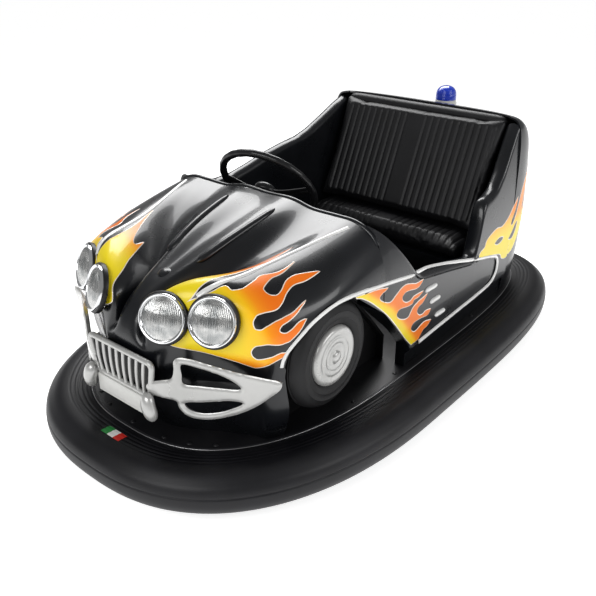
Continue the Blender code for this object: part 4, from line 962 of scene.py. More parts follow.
# (y, z) on the side
COVE_FLAME = [
    (-0.398, 0.509), (-0.350, 0.503), (-0.300, 0.495), (-0.250, 0.483, True), (-0.276, 0.477),
    (-0.289, 0.470), (-0.286, 0.458), (-0.265, 0.444), (-0.241, 0.434), (-0.224, 0.435), (-0.213, 0.441),
    (-0.195, 0.449), (-0.176, 0.456), (-0.152, 0.457), (-0.121, 0.448), (-0.093, 0.439),
    (-0.054, 0.438, True), (-0.074, 0.424), (-0.098, 0.424), (-0.125, 0.431), (-0.155, 0.434),
    (-0.171, 0.425), (-0.166, 0.410), (-0.146, 0.397), (-0.122, 0.394), (-0.105, 0.400), (-0.080, 0.400),
    (-0.048, 0.397, True), (-0.074, 0.389), (-0.100, 0.389), (-0.110, 0.380), (-0.137, 0.382),
    (-0.174, 0.390), (-0.193, 0.386), (-0.196, 0.373), (-0.179, 0.356), (-0.147, 0.342), (-0.125, 0.342),
    (-0.114, 0.353), (-0.101, 0.364), (-0.071, 0.372), (-0.048, 0.374), (-0.020, 0.378, True),
    (-0.044, 0.359), (-0.066, 0.354), (-0.077, 0.345), (-0.075, 0.333), (-0.060, 0.320), (-0.040, 0.316),
    (-0.022, 0.320), (0.010, 0.314, True), (-0.006, 0.301), (-0.034, 0.305), (-0.068, 0.309),
    (-0.094, 0.308), (-0.107, 0.297), (-0.102, 0.284), (-0.084, 0.273), (-0.064, 0.275), (-0.044, 0.281),
    (-0.018, 0.282), (0.018, 0.272, True), (-0.006, 0.261), (-0.027, 0.258), (-0.042, 0.248),
    (-0.055, 0.236, True), (-0.098, 0.235, True), (-0.136, 0.274), (-0.181, 0.327), (-0.223, 0.374),
    (-0.262, 0.413), (-0.299, 0.445), (-0.332, 0.472), (-0.370, 0.497)]
TAIL_FLAME = [
    (0.322, 0.380), (0.326, 0.398), (0.356, 0.406), (0.369, 0.428), (0.406, 0.441), (0.445, 0.447),
    (0.488, 0.441), (0.526, 0.454), (0.556, 0.476), (0.600, 0.520, True), (0.590, 0.480), (0.568, 0.436),
    (0.574, 0.420), (0.590, 0.430), (0.612, 0.482), (0.626, 0.530), (0.656, 0.580), (0.700, 0.628, True),
    (0.676, 0.570), (0.658, 0.516), (0.652, 0.468), (0.664, 0.462), (0.690, 0.500), (0.728, 0.548, True),
    (0.712, 0.486), (0.684, 0.428), (0.662, 0.384), (0.636, 0.342), (0.606, 0.312), (0.556, 0.302),
    (0.520, 0.312), (0.500, 0.334), (0.440, 0.352), (0.385, 0.366)]
TAIL_SLOTS = [[(0.440, 0.392), (0.456, 0.402), (0.484, 0.405), (0.512, 0.396), (0.500, 0.383), (0.466, 0.380)],
              [(0.560, 0.372), (0.580, 0.388), (0.604, 0.420), (0.622, 0.424), (0.616, 0.392), (0.592, 0.364)]]


# %% [markdown]
# ## Laying the flames
# Paint has no depth to speak of, but a film that stands 0.8 mm proud shows the flame as its own piece in
# any renderer. The warmth rises away from the lamps, the wheel arch and the deck, and each flame has a
# small formula for it.

# %% Lay one flame
FILM = 0.0008
STRIPE, STRIPE_PROUD = 0.0027, 0.0007


def flame(name, outlines, lay, warmth_of, spacing, sides):
    """A thin painted skin on the sides asked for, and its pinstripes. Later outlines are bare slots."""
    loops = [drawn(outline) for outline in outlines]
    verts, faces = filled(loops, spacing)
    spots = [lay(v.x, v.y) for v in verts]
    mesh = outward(mesh_from(name, [p + n * FILM for p, n in spots], faces))
    warm = mesh.attributes.new("warmth", "FLOAT", "POINT")
    warm.data.foreach_set("value", [warmth_of(v.co) for v in mesh.vertices])
    rough = loose(name, mesh)
    facing_out = mesh.polygons[0].normal.x > 0 or mesh.polygons[0].normal.z > 0
    left = baked(thickened(rough, 2 * FILM, -1.0 if facing_out else 1.0))
    rims = []
    for loop in loops:
        rim = [lay(p.x, p.y) for p in loop]
        verts, faces = bead([p + n * FILM for p, n in rim], [n for p, n in rim], STRIPE, STRIPE_PROUD,
                            closed=True, sides=4, sunk=FILM)
        rims += [([Vector((side * v.x, v.y, v.z)) for v in verts], faces) for side in sides]
    return (left if 1 in sides else None), (mirrored(left) if -1 in sides else None), rims


# %% Warmth of each flame


def wing_warmth(p):
    return min(1.0, max(0.10 * ease((p.y + 0.80) / 0.08), ease((p.y + 0.735) / 0.105),
                        0.75 * ease((0.452 - p.z) / 0.05)))


def pod_warmth(p):
    return ease((p.y + 0.74) / 0.17)


def cove_warmth(p):
    """Warmer away from the sloping rear edge of the wheel opening."""
    slope_y = between([(0.235, ARCH_FOOT_Y), (0.315, -0.178), (0.408, -0.262), (0.488, -0.369), (0.53, -0.42)],
                      p.z)
    return ease((p.y - slope_y - 0.010) / 0.060)


def tail_warmth(p):
    return 0.85 * ease((p.z - 0.37) / 0.13)


# %% Lay all the flames
stripes = []
BOTH = (1, -1)
for name, outlines, lay, warmth_of, spacing, sides in (
        ("wing_flames", [WING_FLAME], on_nose, wing_warmth, (0.07, 0.08), BOTH),
        ("pod_flames", [LEFT_POD_FLAME], on_nose, pod_warmth, (0.05, 0.08), (1,)),
        ("pod_flames", [RIGHT_POD_FLAME], on_nose, pod_warmth, (0.05, 0.08), (-1,)),
        ("cove_flames", [COVE_FLAME], on_side, cove_warmth, (0.007, 0.007), BOTH),
        ("tail_flames", [TAIL_FLAME, *TAIL_SLOTS], on_side, tail_warmth, (0.008, 0.008), BOTH)):
    left, right, rims = flame(name, outlines, lay, warmth_of, spacing, sides)
    for skin, hand in ((left, "left"), (right, "right")):
        if skin:
            show(f"{name}_{hand}", skin, flame_paint, sharp=60)
    stripes += rims
show("flame_pinstripes", joined("stripes", stripes), flame_edge_paint, sharp=60)

# %% [markdown]
# ## Headlamps
# Each lamp is a bright bezel on a black rubber gasket, with a pressed glass lens. Fine upright flutes in
# real lenses spread the light, so the lens is a domed net with flutes worked into it.

# %% Lamps
LENS_R, LENS_EDGE, LENS_CROWN, LENS_SHEET = 0.0555, 0.004, 0.013, 0.002
FLUTE, FLUTE_DEPTH, WINDOW_RISE = 0.0044, 0.00075, 0.0010


def lens_mesh(side, centre):
    """A round domed net with upright flutes and a raised window in its middle."""
    turn = lamp_axis(side).to_track_quat("Z", "Y").to_matrix()
    across_count, up_count = 110, 36
    rows = []
    for i in range(across_count + 1):
        row = []
        for j in range(up_count + 1):
            a, b = 2 * i / across_count - 1, 2 * j / up_count - 1
            x, y = a * math.sqrt(1 - b * b / 2), b * math.sqrt(1 - a * a / 2)
            r = math.hypot(x, y)
            fade = ease((1 - r) / 0.12)
            flutes = FLUTE_DEPTH * math.cos(2 * math.pi * x * LENS_R / FLUTE)
            window = WINDOW_RISE if abs(x) < 0.26 and abs(y) < 0.30 else 0.0
            height = LENS_EDGE + LENS_CROWN * (1 - r * r) + (flutes + window) * fade
            row.append(turn @ Vector((x * LENS_R, y * LENS_R, height)) + centre)
        rows.append(row)
    return outward(rows_mesh("lens", rows))


# (radius, height) of the bezel and of the rubber gasket behind it
BEZEL = [(LENS_R - 0.001, 0.0035), (0.0575, 0.0075), (0.0600, 0.0085), (0.0625, 0.0070), (0.0640, 0.0030),
         (0.0640, -0.0040), (LAMP_BUCKET_R, -0.0050), (LENS_R - 0.003, 0.0020)]
GASKET = [(0.0640, 0.0015), (0.0675, 0.0005), (0.0690, -0.0030), (0.0680, -0.0120), (0.0600, -0.0120),
          (0.0600, -0.0030)]
gaskets = []
for side, hand in ((-1, "right"), (1, "left")):
    for which, spot in LAMP_CENTRES.items():
        look = lamp_axis(side)
        centre = Vector((side * spot.x, spot.y, spot.z)) + look * LAMP_PROUD
        show(f"headlamp_bezel_{which}_{hand}", turned(BEZEL, 96, look, centre), FINISHES["lamp_chrome"],
             stands_for=[f"headlamp_{which}_{hand}"], sharp=30)
        glass = baked(thickened(loose("glass", lens_mesh(side, centre)), LENS_SHEET))
        show(f"headlamp_lens_{which}_{hand}", glass, lamp_glass, sharp=60)
        gaskets.append(shape_of(turned(GASKET, 72, look, centre)))
show("headlamp_gaskets", joined("gaskets", gaskets), gasket_black)

# %% [markdown]
# ## Grille, plate, over-riders and bumper blades
# The front trim is silver painted plastic: a framed grille with upright bars, two blades that wrap round
# the nose, each with two openings, and a pair of rounded over-riders beside a blank plate. A blade is a
# flat outline that is filled, wrapped round the nose by a table, thickened and rounded.

# %% Bumper blades
BLADE_SHEET = 0.014
# (x, z) of a blade and its two openings
BLADE_OUTLINE = [(0.102, 0.325), (0.114, 0.309), (0.143, 0.304), (0.178, 0.300), (0.185, 0.280),
                 (0.200, 0.260), (0.225, 0.251), (0.259, 0.253), (0.299, 0.267), (0.334, 0.287),
                 (0.362, 0.309), (0.388, 0.336), (0.414, 0.364), (0.423, 0.384), (0.412, 0.392),
                 (0.373, 0.391), (0.324, 0.397), (0.283, 0.408), (0.242, 0.421), (0.210, 0.429),
                 (0.189, 0.427), (0.180, 0.414), (0.179, 0.390), (0.172, 0.366), (0.148, 0.357),
                 (0.116, 0.344)]
BLADE_HOLES = [[(0.199, 0.410), (0.197, 0.380), (0.200, 0.354), (0.238, 0.351), (0.280, 0.349), (0.322, 0.350),
                (0.310, 0.368), (0.280, 0.387), (0.240, 0.402)],
               [(0.200, 0.297), (0.210, 0.277), (0.240, 0.270), (0.282, 0.280), (0.326, 0.308), (0.295, 0.313),
                (0.245, 0.304)]]


def blade_y(x):
    """How far forward the inner face of a blade lies at a distance from the middle."""
    line = [(0.10, -0.845), (0.155, -0.825), (0.20, -0.800), (0.245, -0.772), (0.32, -0.723), (0.37, -0.695),
            (0.42, -0.680)]
    return sum(between(line, abs(x) + d) for d in (-0.02, -0.01, 0.0, 0.01, 0.02)) / 5


BLADE_CROWN, BLADE_STAND_OFF = 0.005, 0.001
blade_loops = [drawn(BLADE_OUTLINE, 4), *[drawn(hole, 4) for hole in BLADE_HOLES]]
blade_verts, blade_faces = filled(blade_loops, (0.006, 0.006))
blade_rim = np.array([(p.x, p.y) for loop in blade_loops for p in loop])
for side, hand in ((-1, "right"), (1, "left")):
    sheet_points = []
    for v in blade_verts:
        edge_gap = np.sqrt(((blade_rim - (v.x, v.y)) ** 2).sum(1)).min()
        crown = BLADE_CROWN * ease(edge_gap / 0.009) - BLADE_CROWN
        front = blade_y(v.x) - BLADE_SHEET - BLADE_STAND_OFF - crown
        sheet_points.append(Vector((side * v.x, front, v.y)))
    blade = outward(mesh_from("blade", sheet_points, blade_faces))
    if sum(face.normal.y * face.area for face in blade.polygons) > 0:
        blade.flip_normals()
    blade_rough = thickened(loose("blade", blade), BLADE_SHEET - 2 * BLADE_STAND_OFF)
    rounded(blade_rough, 0.003, segments=3, sharper_than=50)
    show(f"bumper_blade_{hand}", baked(blade_rough), FINISHES["silver_trim"],
         stands_for=[f"front_bumper_{hand}"])

# %% [markdown]
# ## Grille
# The grille is a rounded frame with eight bowed bars in front of a dark screen. The screen is painted
# shade: it darkens the gaps between the bars as the shadow in the recess would. The frame is a closed
# tube round four arcs and each bar is a short tube, which is simpler than cutting slots in a plate and
# gives round bars.

# %% Grille
GRILLE_TOP, GRILLE_FOOT = 0.132, 0.118
GRILLE_LOW, GRILLE_HIGH = 0.288, 0.404
GRILLE_Y = -0.846
FRAME_CORNER, FRAME_INSET, FRAME_R = 0.020, 0.007, 0.0085
frame_outline = []
for x, z, start in ((GRILLE_FOOT, GRILLE_LOW, -90), (GRILLE_TOP, GRILLE_HIGH, 0),
                    (-GRILLE_TOP, GRILLE_HIGH, 90), (-GRILLE_FOOT, GRILLE_LOW, 180)):
    middle_x = x - math.copysign(FRAME_CORNER, x)
    middle_z = z + (FRAME_CORNER if z == GRILLE_LOW else -FRAME_CORNER)
    for k in range(9):
        angle = math.radians(start + 90 * k / 8)
        frame_outline.append(Vector((middle_x + (FRAME_CORNER - FRAME_INSET) * math.cos(angle), GRILLE_Y,
                                     middle_z + (FRAME_CORNER - FRAME_INSET) * math.sin(angle))))
frame_tube = tube(frame_outline, FRAME_R, sides=14, closed=True, up=Vector((0, 1, 0)), flatten=0.95)
bars = []
BAR_COUNT, BARS_HALF, BAR_R, BAR_BOW, BAR_MARGIN = 8, 0.0875, 0.0052, 0.003, 0.010
for k in range(BAR_COUNT):
    x = BARS_HALF * (2 * k / (BAR_COUNT - 1) - 1)
    path = [Vector((x * (1 + 0.10 * (t / 10)), GRILLE_Y - 0.001 - BAR_BOW * math.sin(math.pi * t / 10),
                    GRILLE_LOW + BAR_MARGIN + (GRILLE_HIGH - GRILLE_LOW - 2 * BAR_MARGIN) * t / 10))
            for t in range(11)]
    bars.append(tube(path, BAR_R, sides=10, up=Vector((0, 1, 0))))
show("grille_frame_and_bars", joined("grille", [frame_tube, *bars]), FINISHES["silver_trim"],
     stands_for=["grille"], sharp=60)
# the dark screen behind the bars is painted shade for the gaps between them
grille_shade_back = block((0.216, 0.003, 0.094), (0, GRILLE_Y + 0.008, (GRILLE_LOW + GRILLE_HIGH) / 2))
show("grille_painted_shade_screen", baked(rounded(loose("grille_shade_back", grille_shade_back), 0.001)), gasket_black)

# %% [markdown]
# ## Plate and over-riders
# A blank plate hangs under the grille between two over-riders, the rounded horns that used to keep
# bumpers from hooking. Each horn is a bowed tube whose radius swells and closes again, so one helper
# makes the whole shape.

# %% Plate and over-riders
plate_rough = rounded(loose("plate", block((0.205, 0.008, 0.056), (0, -0.8525, 0.262))), 0.0035, segments=4)
show("blank_plate", baked(plate_rough), FINISHES["plate_white"], stands_for=["number_plate"])
RIDER_X, RIDER_Y, RIDER_FOOT, RIDER_TALL, RIDER_R, RIDER_BOW = 0.122, -0.858, 0.238, 0.078, 0.0215, 0.008
riders = []
for side in (-1, 1):
    path = [Vector((side * (RIDER_X + 0.004 * math.sin(t * 0.5)),
                    RIDER_Y - RIDER_BOW * math.sin(math.pi * t / 12), RIDER_FOOT + RIDER_TALL * t / 12))
            for t in range(13)]
    swell = [RIDER_R * math.sqrt(max(0.03, 1 - abs(t / 6 - 1) ** 3.5)) for t in range(13)]
    fine_path = smooth_line(path, 3)
    fine_swell = [between([(k, s) for k, s in enumerate(swell)], i / 3) for i in range(len(fine_path))]
    riders.append(tube(fine_path, fine_swell, sides=20, up=Vector((0, 1, 0)), flatten=0.8))
show("over_riders", joined("riders", riders), FINISHES["silver_trim"], sharp=70)

# %% [markdown]
# ## Show wheels
# The tyres in the wings don't touch the ground. Each has a soft round shoulder and two raised rings on
# its wall, and a pressed hubcap with concentric steps round a small dome.

# %% Tyres and hubcaps
TYRE_R, TYRE_MID_X, TYRE_WIDTH, CAP_R, CAP_FACE_X = 0.155, 0.383, 0.075, 0.086, 0.430
# both profiles are (radius, distance from the car's middle)
for side, hand in ((-1, "right"), (1, "left")):
    outer, inner = TYRE_MID_X + TYRE_WIDTH / 2, TYRE_MID_X - TYRE_WIDTH / 2
    tyre_half = [(CAP_R - 0.004, outer - 0.012), (CAP_R + 0.004, outer - 0.006),
                 (CAP_R + 0.010, outer - 0.0015), (CAP_R + 0.018, outer), (CAP_R + 0.0205, outer + 0.0012),
                 (CAP_R + 0.023, outer), (0.122, outer - 0.001), (0.1245, outer + 0.0004),
                 (0.127, outer - 0.0015), (0.136, outer - 0.005), (0.145, outer - 0.012),
                 (0.151, outer - 0.021), (0.1535, outer - 0.028), (0.1520, outer - 0.0295),
                 (0.1520, outer - 0.0315), (0.1545, outer - 0.033), (TYRE_R, TYRE_MID_X),
                 (0.153, inner + 0.016), (0.142, inner + 0.004), (0.105, inner), (CAP_R - 0.004, inner)]
    tyre = turned(tyre_half, 120, (side, 0, 0), (0, HUB_Y, HUB_Z))
    show(f"show_tyre_{hand}", tyre, FINISHES["tyre_rubber"], stands_for=[f"dummy_tyre_{hand}"],
         sharp=45)
    face = CAP_FACE_X
    cap = [(0.0, face + 0.002), (0.006, face + 0.0018), (0.012, face + 0.0005), (0.0155, face - 0.003),
           (0.0175, face - 0.0062), (0.022, face - 0.0070), (0.030, face - 0.0058), (0.036, face - 0.0050),
           (0.039, face - 0.0062), (0.041, face - 0.0050), (0.050, face - 0.0042), (0.054, face - 0.0056),
           (0.057, face - 0.0072), (0.060, face - 0.0062), (0.068, face - 0.0048), (0.076, face - 0.0052),
           (0.081, face - 0.0080), (0.0845, face - 0.012), (CAP_R, face - 0.018),
           (CAP_R - 0.004, face - 0.022), (0.0, face - 0.022)]
    hubcap = turned(cap, 120, (side, 0, 0), (0, HUB_Y, HUB_Z))
    show(f"hubcap_face_{hand}", hubcap, FINISHES["silver_trim"], stands_for=[f"hubcap_{hand}"],
         sharp=50)

# %% [markdown]
# ## Rubber ring
# The bumper is an extruded rubber section carried round the deck. Its outline is two half superellipses,
# a round one at the nose and a squarer one at the tail. An outline by formula can be moved inwards for
# each level of the section, which a curve's bevel can't do so evenly on its tight corners.

# %% Ring outline
WIDTH, LENGTH, WIDEST_Y = 1.15, 1.987, -0.163
NOSE_ROUNDNESS, TAIL_ROUNDNESS = 2.45, 3.83
RUBBER_DEPTH = 0.138
RING_COUNT = 256


def ring_outline(inset, count=RING_COUNT):
    outline = []
    for k in range(count):
        angle = 2 * math.pi * k / count
        front = math.sin(angle) < 0
        reach = (WIDEST_Y + LENGTH / 2) if front else (LENGTH / 2 - WIDEST_Y)
        power = 2 / (NOSE_ROUNDNESS if front else TAIL_ROUNDNESS)
        across = math.copysign(abs(math.cos(angle)) ** power, math.cos(angle)) * WIDTH / 2
        along = WIDEST_Y + math.copysign(abs(math.sin(angle)) ** power, math.sin(angle)) * reach
        outline.append(Vector((across, along)))
    moved = []
    for before, here, after in zip(outline[-1:] + outline[:-1], outline, outline[1:] + outline[:1]):
        way = (after - before).normalized()
        moved.append(here + Vector((-way.y, way.x)) * inset)
    return moved


def ring_mesh(section):
    """A closed section of (inset, height) points carried once round the outline."""
    rings = [[Vector((*p, height)) for p in ring_outline(inset)] for inset, height in section]
    verts = [v for ring in rings for v in ring]
    faces = []
    for i in range(len(rings)):
        j = (i + 1) % len(rings)
        for k in range(RING_COUNT):
            m = (k + 1) % RING_COUNT
            faces.append((i * RING_COUNT + k, i * RING_COUNT + m, j * RING_COUNT + m, j * RING_COUNT + k))
    return outward(mesh_from("ring", verts, faces))


# %% [markdown]
# ## The ring's section
# Shallow ridges run along the top of the rubber, a groove marks its side, and a bright line lies in the
# inner lip. The bright line is a painted reflection: it stands for the shine along the lip. The section
# is drawn once, the ridges are added to it as a ripple, and the whole is carried round.

# %% Ring section with ridges
SECTION = [(0.138, 0.158), (0.115, 0.1635), (0.080, 0.167), (0.045, 0.1630), (0.018, 0.144), (0.006, 0.128),
           (0.0005, 0.105), (0.002, 0.080), (0.012, 0.060), (0.030, 0.0535), (0.090, 0.056), (0.138, 0.064)]
RIDGE_PITCH, RIDGE_DEPTH, GROOVE_DEPTH, GROOVE_HEIGHT = 0.0135, 0.0014, 0.0022, 0.112
fine_section = []
for p in smooth_line([(*p, 0.0) for p in SECTION], 14):
    height = p.y
    inset = max(0.0, p.x)
    if height > 0.150:
        share = ease((inset - 0.070) / 0.010) * ease((0.130 - inset) / 0.008)
        height -= RIDGE_DEPTH * share * (0.5 - 0.5 * math.cos(2 * math.pi * inset / RIDGE_PITCH)) ** 3
    if 0.088 < height < 0.122 and inset < 0.02:
        inset += GROOVE_DEPTH * math.exp(-((height - GROOVE_HEIGHT) / 0.0022) ** 2)
    fine_section.append((inset, min(0.167, max(0.0535, height))))
show("bumper_ring", ring_mesh(fine_section), FINISHES["bumper_rubber"],
     stands_for=["bumper_tube"], sharp=60)
# a bright steel line round the inner lip: a painted reflection of the shine along the lip
lip = [(0.1385 + 0.0016 * math.cos(a), 0.1590 + 0.0014 * math.sin(a))
       for a in [2 * math.pi * k / 8 for k in range(8)]]
show("ring_lip_painted_reflection", ring_mesh(lip), FINISHES["bare_steel"], sharp=80)

# %% [markdown]
# ## Sticker on the ring
# A small three-colour stripe sticker is on the front of the ring. It is a thin film draped on the rubber
# by rays from above. Three pieces of film would leave gaps, so it is one piece, and its colours change by
# steps along X.

# %% Sticker
ring_tree = BVHTree.FromPolygons(*shape_of(bpy.data.objects["bumper_ring"].data))
STICKER_X, STICKER_Y, STICKER_HALF, STICKER_DEEP = 0.012, -0.905, 0.037, 0.015
sticker_paint = finish("sticker", (0.5, 0.5, 0.5), (0.5, 0.5, 0.5), (0.3, 0.4), cloud_scale=60.0)
nodes, links = sticker_paint.node_tree.nodes, sticker_paint.node_tree.links
split = nodes.new("ShaderNodeSeparateXYZ")
links.new(nodes["Texture Coordinate"].outputs["Object"], split.inputs["Vector"])
span = nodes.new("ShaderNodeMapRange")
span.inputs["From Min"].default_value = STICKER_X - STICKER_HALF
span.inputs["From Max"].default_value = STICKER_X + STICKER_HALF
links.new(split.outputs["X"], span.inputs["Value"])
STICKER_STRIPES = [(0.0, (0.03, 0.25, 0.06)), (0.34, (0.72, 0.72, 0.70)), (0.67, (0.55, 0.03, 0.02))]
paint_by(sticker_paint, span.outputs["Result"], STICKER_STRIPES, "CONSTANT")

# %% Drape the sticker
corners = [(STICKER_X + a * STICKER_HALF, STICKER_Y + b * STICKER_DEEP)
           for a, b in ((-1, -1), (1, -1), (1, 1), (-1, 1))]
sticker_border = []
for (x0, y0), (x1, y1) in zip(corners, corners[1:] + corners[:1]):
    sticker_border += [(x0 + (x1 - x0) * k / 8, y0 + (y1 - y0) * k / 8) for k in range(8)]
sticker_verts, sticker_faces = filled([sticker_border], (0.004, 0.004))
laid = []
for v in sticker_verts:
    hit, *_ = ring_tree.ray_cast(Vector((v.x, v.y, 0.3)), Vector((0, 0, -1)))
    laid.append(hit + Vector((0, 0, 0.0007)))
sticker_rough = thickened(loose("sticker", mesh_from("sticker", laid, sticker_faces)), 0.0004)
show("stripe_sticker", baked(sticker_rough), sticker_paint, sharp=60)

# %% [markdown]
# ## Deck screws
# Small domed screws hold the deck down along its edge, where the body doesn't cover it. They are turned
# from one profile at even steps round the ring's outline, and joined into one piece.

# %% Deck screws
SCREW = [(0.0, 0.0032), (0.0035, 0.0030), (0.0060, 0.0020), (0.0075, 0.0004), (0.0075, -0.001), (0.0, -0.001)]
screws = []
for p in ring_outline(RUBBER_DEPTH + 0.024, 64)[::2]:
    if abs(p.x) > 0.40 or p.y < -0.72 or p.y > 0.80:
        screws.append(shape_of(turned(SCREW, 16, (0, 0, 1), (p.x, p.y, DECK_TOP))))
show("deck_screws", joined("screws", screws), FINISHES["deck_paint"])

# %% [markdown]
# ## Steering wheel
# A thick round rim, three flat spokes and a padded boss, all in soft black plastic. It is modelled round
# its own axis and turned into place, and it rides on the steering body, so it turns with the joint.

# %% Steering wheel's axis
STEER_CENTRE = Vector((-0.135, -0.118, 0.630))
STEER_FOOT = Vector((-0.070, -0.395, 0.415))
STEER_RIM_R, STEER_GRIP_R, STEER_HUB_DROP = 0.158, 0.0125, 0.028
steer_axis = (STEER_CENTRE - STEER_FOOT).normalized()
steer_up = (Vector((0, 0, 1)) - steer_axis * steer_axis.z).normalized()
steer_across = steer_axis.cross(steer_up)


def on_wheel(radius, angle, height=0.0):
    """A point on the wheel by radius, angle from the right and height along the column."""
    way = steer_across * math.cos(angle) + steer_up * math.sin(angle)
    return STEER_CENTRE + way * radius + steer_axis * height


# %% Steering wheel
RIM_COUNT, GRIP_RIPPLE = 144, 0.0009
rim_path = [on_wheel(STEER_RIM_R, 2 * math.pi * k / RIM_COUNT) for k in range(RIM_COUNT)]
rim_radii = [STEER_GRIP_R - GRIP_RIPPLE * (0.5 - 0.5 * math.cos(2 * math.pi * k / 6))
             for k in range(RIM_COUNT)]
wheel_shapes = [tube(rim_path, rim_radii, sides=20, closed=True, up=steer_axis)]
for degrees in (0, 180, 270):
    angle = math.radians(degrees)
    path = [on_wheel(0.026 + (STEER_RIM_R - 0.030) * k / 16, angle,
                     0.001 - STEER_HUB_DROP * (1 - ease(k / 16))) for k in range(17)]
    widths = [0.0175 - 0.0055 * math.sin(math.pi * k / 16) for k in range(17)]
    wheel_shapes.append(tube(path, widths, sides=14, up=steer_axis, flatten=0.38))
# (radius, height) of the boss
BOSS = [(0.0, 0.024), (0.012, 0.0235), (0.022, 0.0215), (0.027, 0.0190), (0.0285, 0.0165), (0.031, 0.0160),
        (0.036, 0.0130), (0.0385, 0.006), (0.0385, -0.006), (0.034, -0.011), (0.0, -0.011)]
boss = turned(BOSS, 64, steer_axis, STEER_CENTRE - steer_axis * STEER_HUB_DROP)
show("steering_wheel_skin", joined("wheel", [*wheel_shapes, shape_of(boss)]), FINISHES["wheel_grip"],
     body="steering_wheel", stands_for=["steering_wheel"], sharp=50)

# %% [markdown]
# ## Beacon and tail lamps
# The beacon is a blue dome with fine rings pressed into it, on a pale base. The red tail lamps have the
# same kind of rings and a bright rim.

# %% Beacon
BEACON_Y, BEACON_R, BEACON_FOOT, BEACON_SEAT = 0.745, 0.042, 0.735, 0.785
COLLAR = [(0.0, 0.050), (0.036, 0.050), (0.039, 0.048), (0.0395, 0.040), (0.0418, 0.038), (0.0420, 0.034),
          (0.0405, 0.032), (0.0405, 0.020), (BEACON_R, 0.018), (BEACON_R, 0.0), (0.0, 0.0)]
base = turned(COLLAR, 72, (0, 0, 1), (0, BEACON_Y, BEACON_FOOT))
show("beacon_collar", base, FINISHES["cream_plastic"], stands_for=["beacon_base"], sharp=30)
DOME_R, DOME_TOP = 0.039, 0.050
dome_profile = []
for k in range(49):
    angle = math.radians(90 - 90 * k / 48)
    ripple = 0.0005 * math.cos(k * math.pi / 2)
    dome_profile.append(((DOME_R - 0.0006 + ripple) * math.cos(angle) ** 0.8,
                         min(DOME_TOP, 0.016 + (DOME_TOP - 0.016) * math.sin(angle) - abs(ripple) * 0.3)))
dome_profile[0] = (0.0, DOME_TOP)
dome_profile += [(DOME_R - 0.0006, 0.008), (DOME_R, 0.006), (DOME_R, 0.0003), (0.0, 0.0003)]
dome = turned(dome_profile, 72, (0, 0, 1), (0, BEACON_Y, BEACON_SEAT))
show("beacon_dome_lens", dome, FINISHES["blue_lens"], stands_for=["beacon_dome"], sharp=50)

# %% [markdown]
# ## Tail lamps
# Each red lens is a turned dome with pressed rings in a thin bright rim. The lamp's place comes from the
# frame's own lamp, so the skin sits exactly where the solid sits.

# %% Tail lamps
TAIL_LAMP_R, LENS_SHARE = 0.032, 0.92
TAIL_RIM = [(TAIL_LAMP_R * 0.90, 0.012), (TAIL_LAMP_R * 0.98, 0.0125), (TAIL_LAMP_R * 1.05, 0.009),
            (TAIL_LAMP_R * 1.05, -0.006), (TAIL_LAMP_R * 0.90, -0.006)]
tail_rims = []
for side, hand in ((-1, "right"), (1, "left")):
    low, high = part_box(f"tail_lamp_{hand}")
    middle = Vector(((low.x + high.x) / 2, high.y - 0.022, (low.z + high.z) / 2))
    rings = [(TAIL_LAMP_R * LENS_SHARE * k / 28,
              0.0205 - 0.0095 * (k / 28) ** 2 + 0.0006 * math.cos(k * math.pi / 2)) for k in range(29)]
    lens = turned([*rings, (TAIL_LAMP_R * LENS_SHARE, 0.003), (0.0, 0.003)], 72, (0, 1, 0), middle)
    show(f"tail_lamp_lens_{hand}", lens, FINISHES["red_lens"], stands_for=[f"tail_lamp_{hand}"],
         sharp=60)
    tail_rims.append(shape_of(turned(TAIL_RIM, 72, (0, 1, 0), middle)))
show("tail_lamp_rims", joined("tail_rims", tail_rims), FINISHES["lamp_chrome"], sharp=35)

# %% [markdown]
# ## Padded seat
# The seat is black vinyl over foam. A slightly small block is remeshed evenly and blown up with cloth
# pressure, so that it crowns and its sides pull in between the corners. Then the sewn channels are
# pressed in: narrow upright ribs in two panels, with a plain strip down the middle.

# %% Padding by pressure
SEAT_HALF = 0.3345
VOXEL, PRESSURE, CLOTH_FRAMES, MOST_STRETCH = 0.006, 4.0, 20, 1.12


def stuffed(name, size, cap, limits, ease_in):
    """A swollen pad round the origin, moved at most cap and fitted to its half limits.

    ease_in is the share of the pull that each axis keeps, because a pad on a board can't shrink much.
    """
    rough = rounded(loose(name, block(size, (0, 0, 0))), min(size) * 0.32, segments=4)
    even = rough.modifiers.new("even", "REMESH")
    even.mode = "VOXEL"
    even.voxel_size = VOXEL
    pad = loose(name, baked(rough))
    rest = np.array([v.co for v in pad.data.vertices])
    cloth = pad.modifiers.new("Cloth", "CLOTH")
    cloth.settings.quality = 4
    cloth.settings.use_pressure = True
    cloth.settings.uniform_pressure_force = PRESSURE
    cloth.settings.effector_weights.gravity = 0.0
    for step in range(1, CLOTH_FRAMES + 1):
        bpy.context.scene.frame_set(step)
    graph = bpy.context.evaluated_depsgraph_get()
    moved = np.array([v.co for v in pad.evaluated_get(graph).data.vertices])
    pad.modifiers.remove(cloth)
    bpy.context.scene.frame_set(1)
    shift = (moved - rest) * np.array(ease_in)
    length = np.linalg.norm(shift, axis=1, keepdims=True)
    shift *= np.minimum(1.0, cap / np.maximum(length, 1e-9))
    shaped = rest + shift
    spread = np.abs(shaped).max(axis=0)
    shaped *= np.minimum(np.array(limits) / spread, MOST_STRETCH)
    pad.data.vertices.foreach_set("co", shaped.astype(np.float32).ravel())
    print(name, "swells by up to", round(float(length.max()) * 1000, 1), "mm before the cap")
    finer = pad.modifiers.new("finer", "SUBSURF")
    finer.levels = 1
    return baked(pad)


# %% [markdown]
# ## Sewn channels
# Each panel has ten upright channels between a plain middle strip and a plain border. A seam pulls the
# vinyl down in a narrow line, and the foam stands round between two seams, so a cosine that is raised to
# a power gives the section. The remesh would have lost such narrow seams, so they come after it.

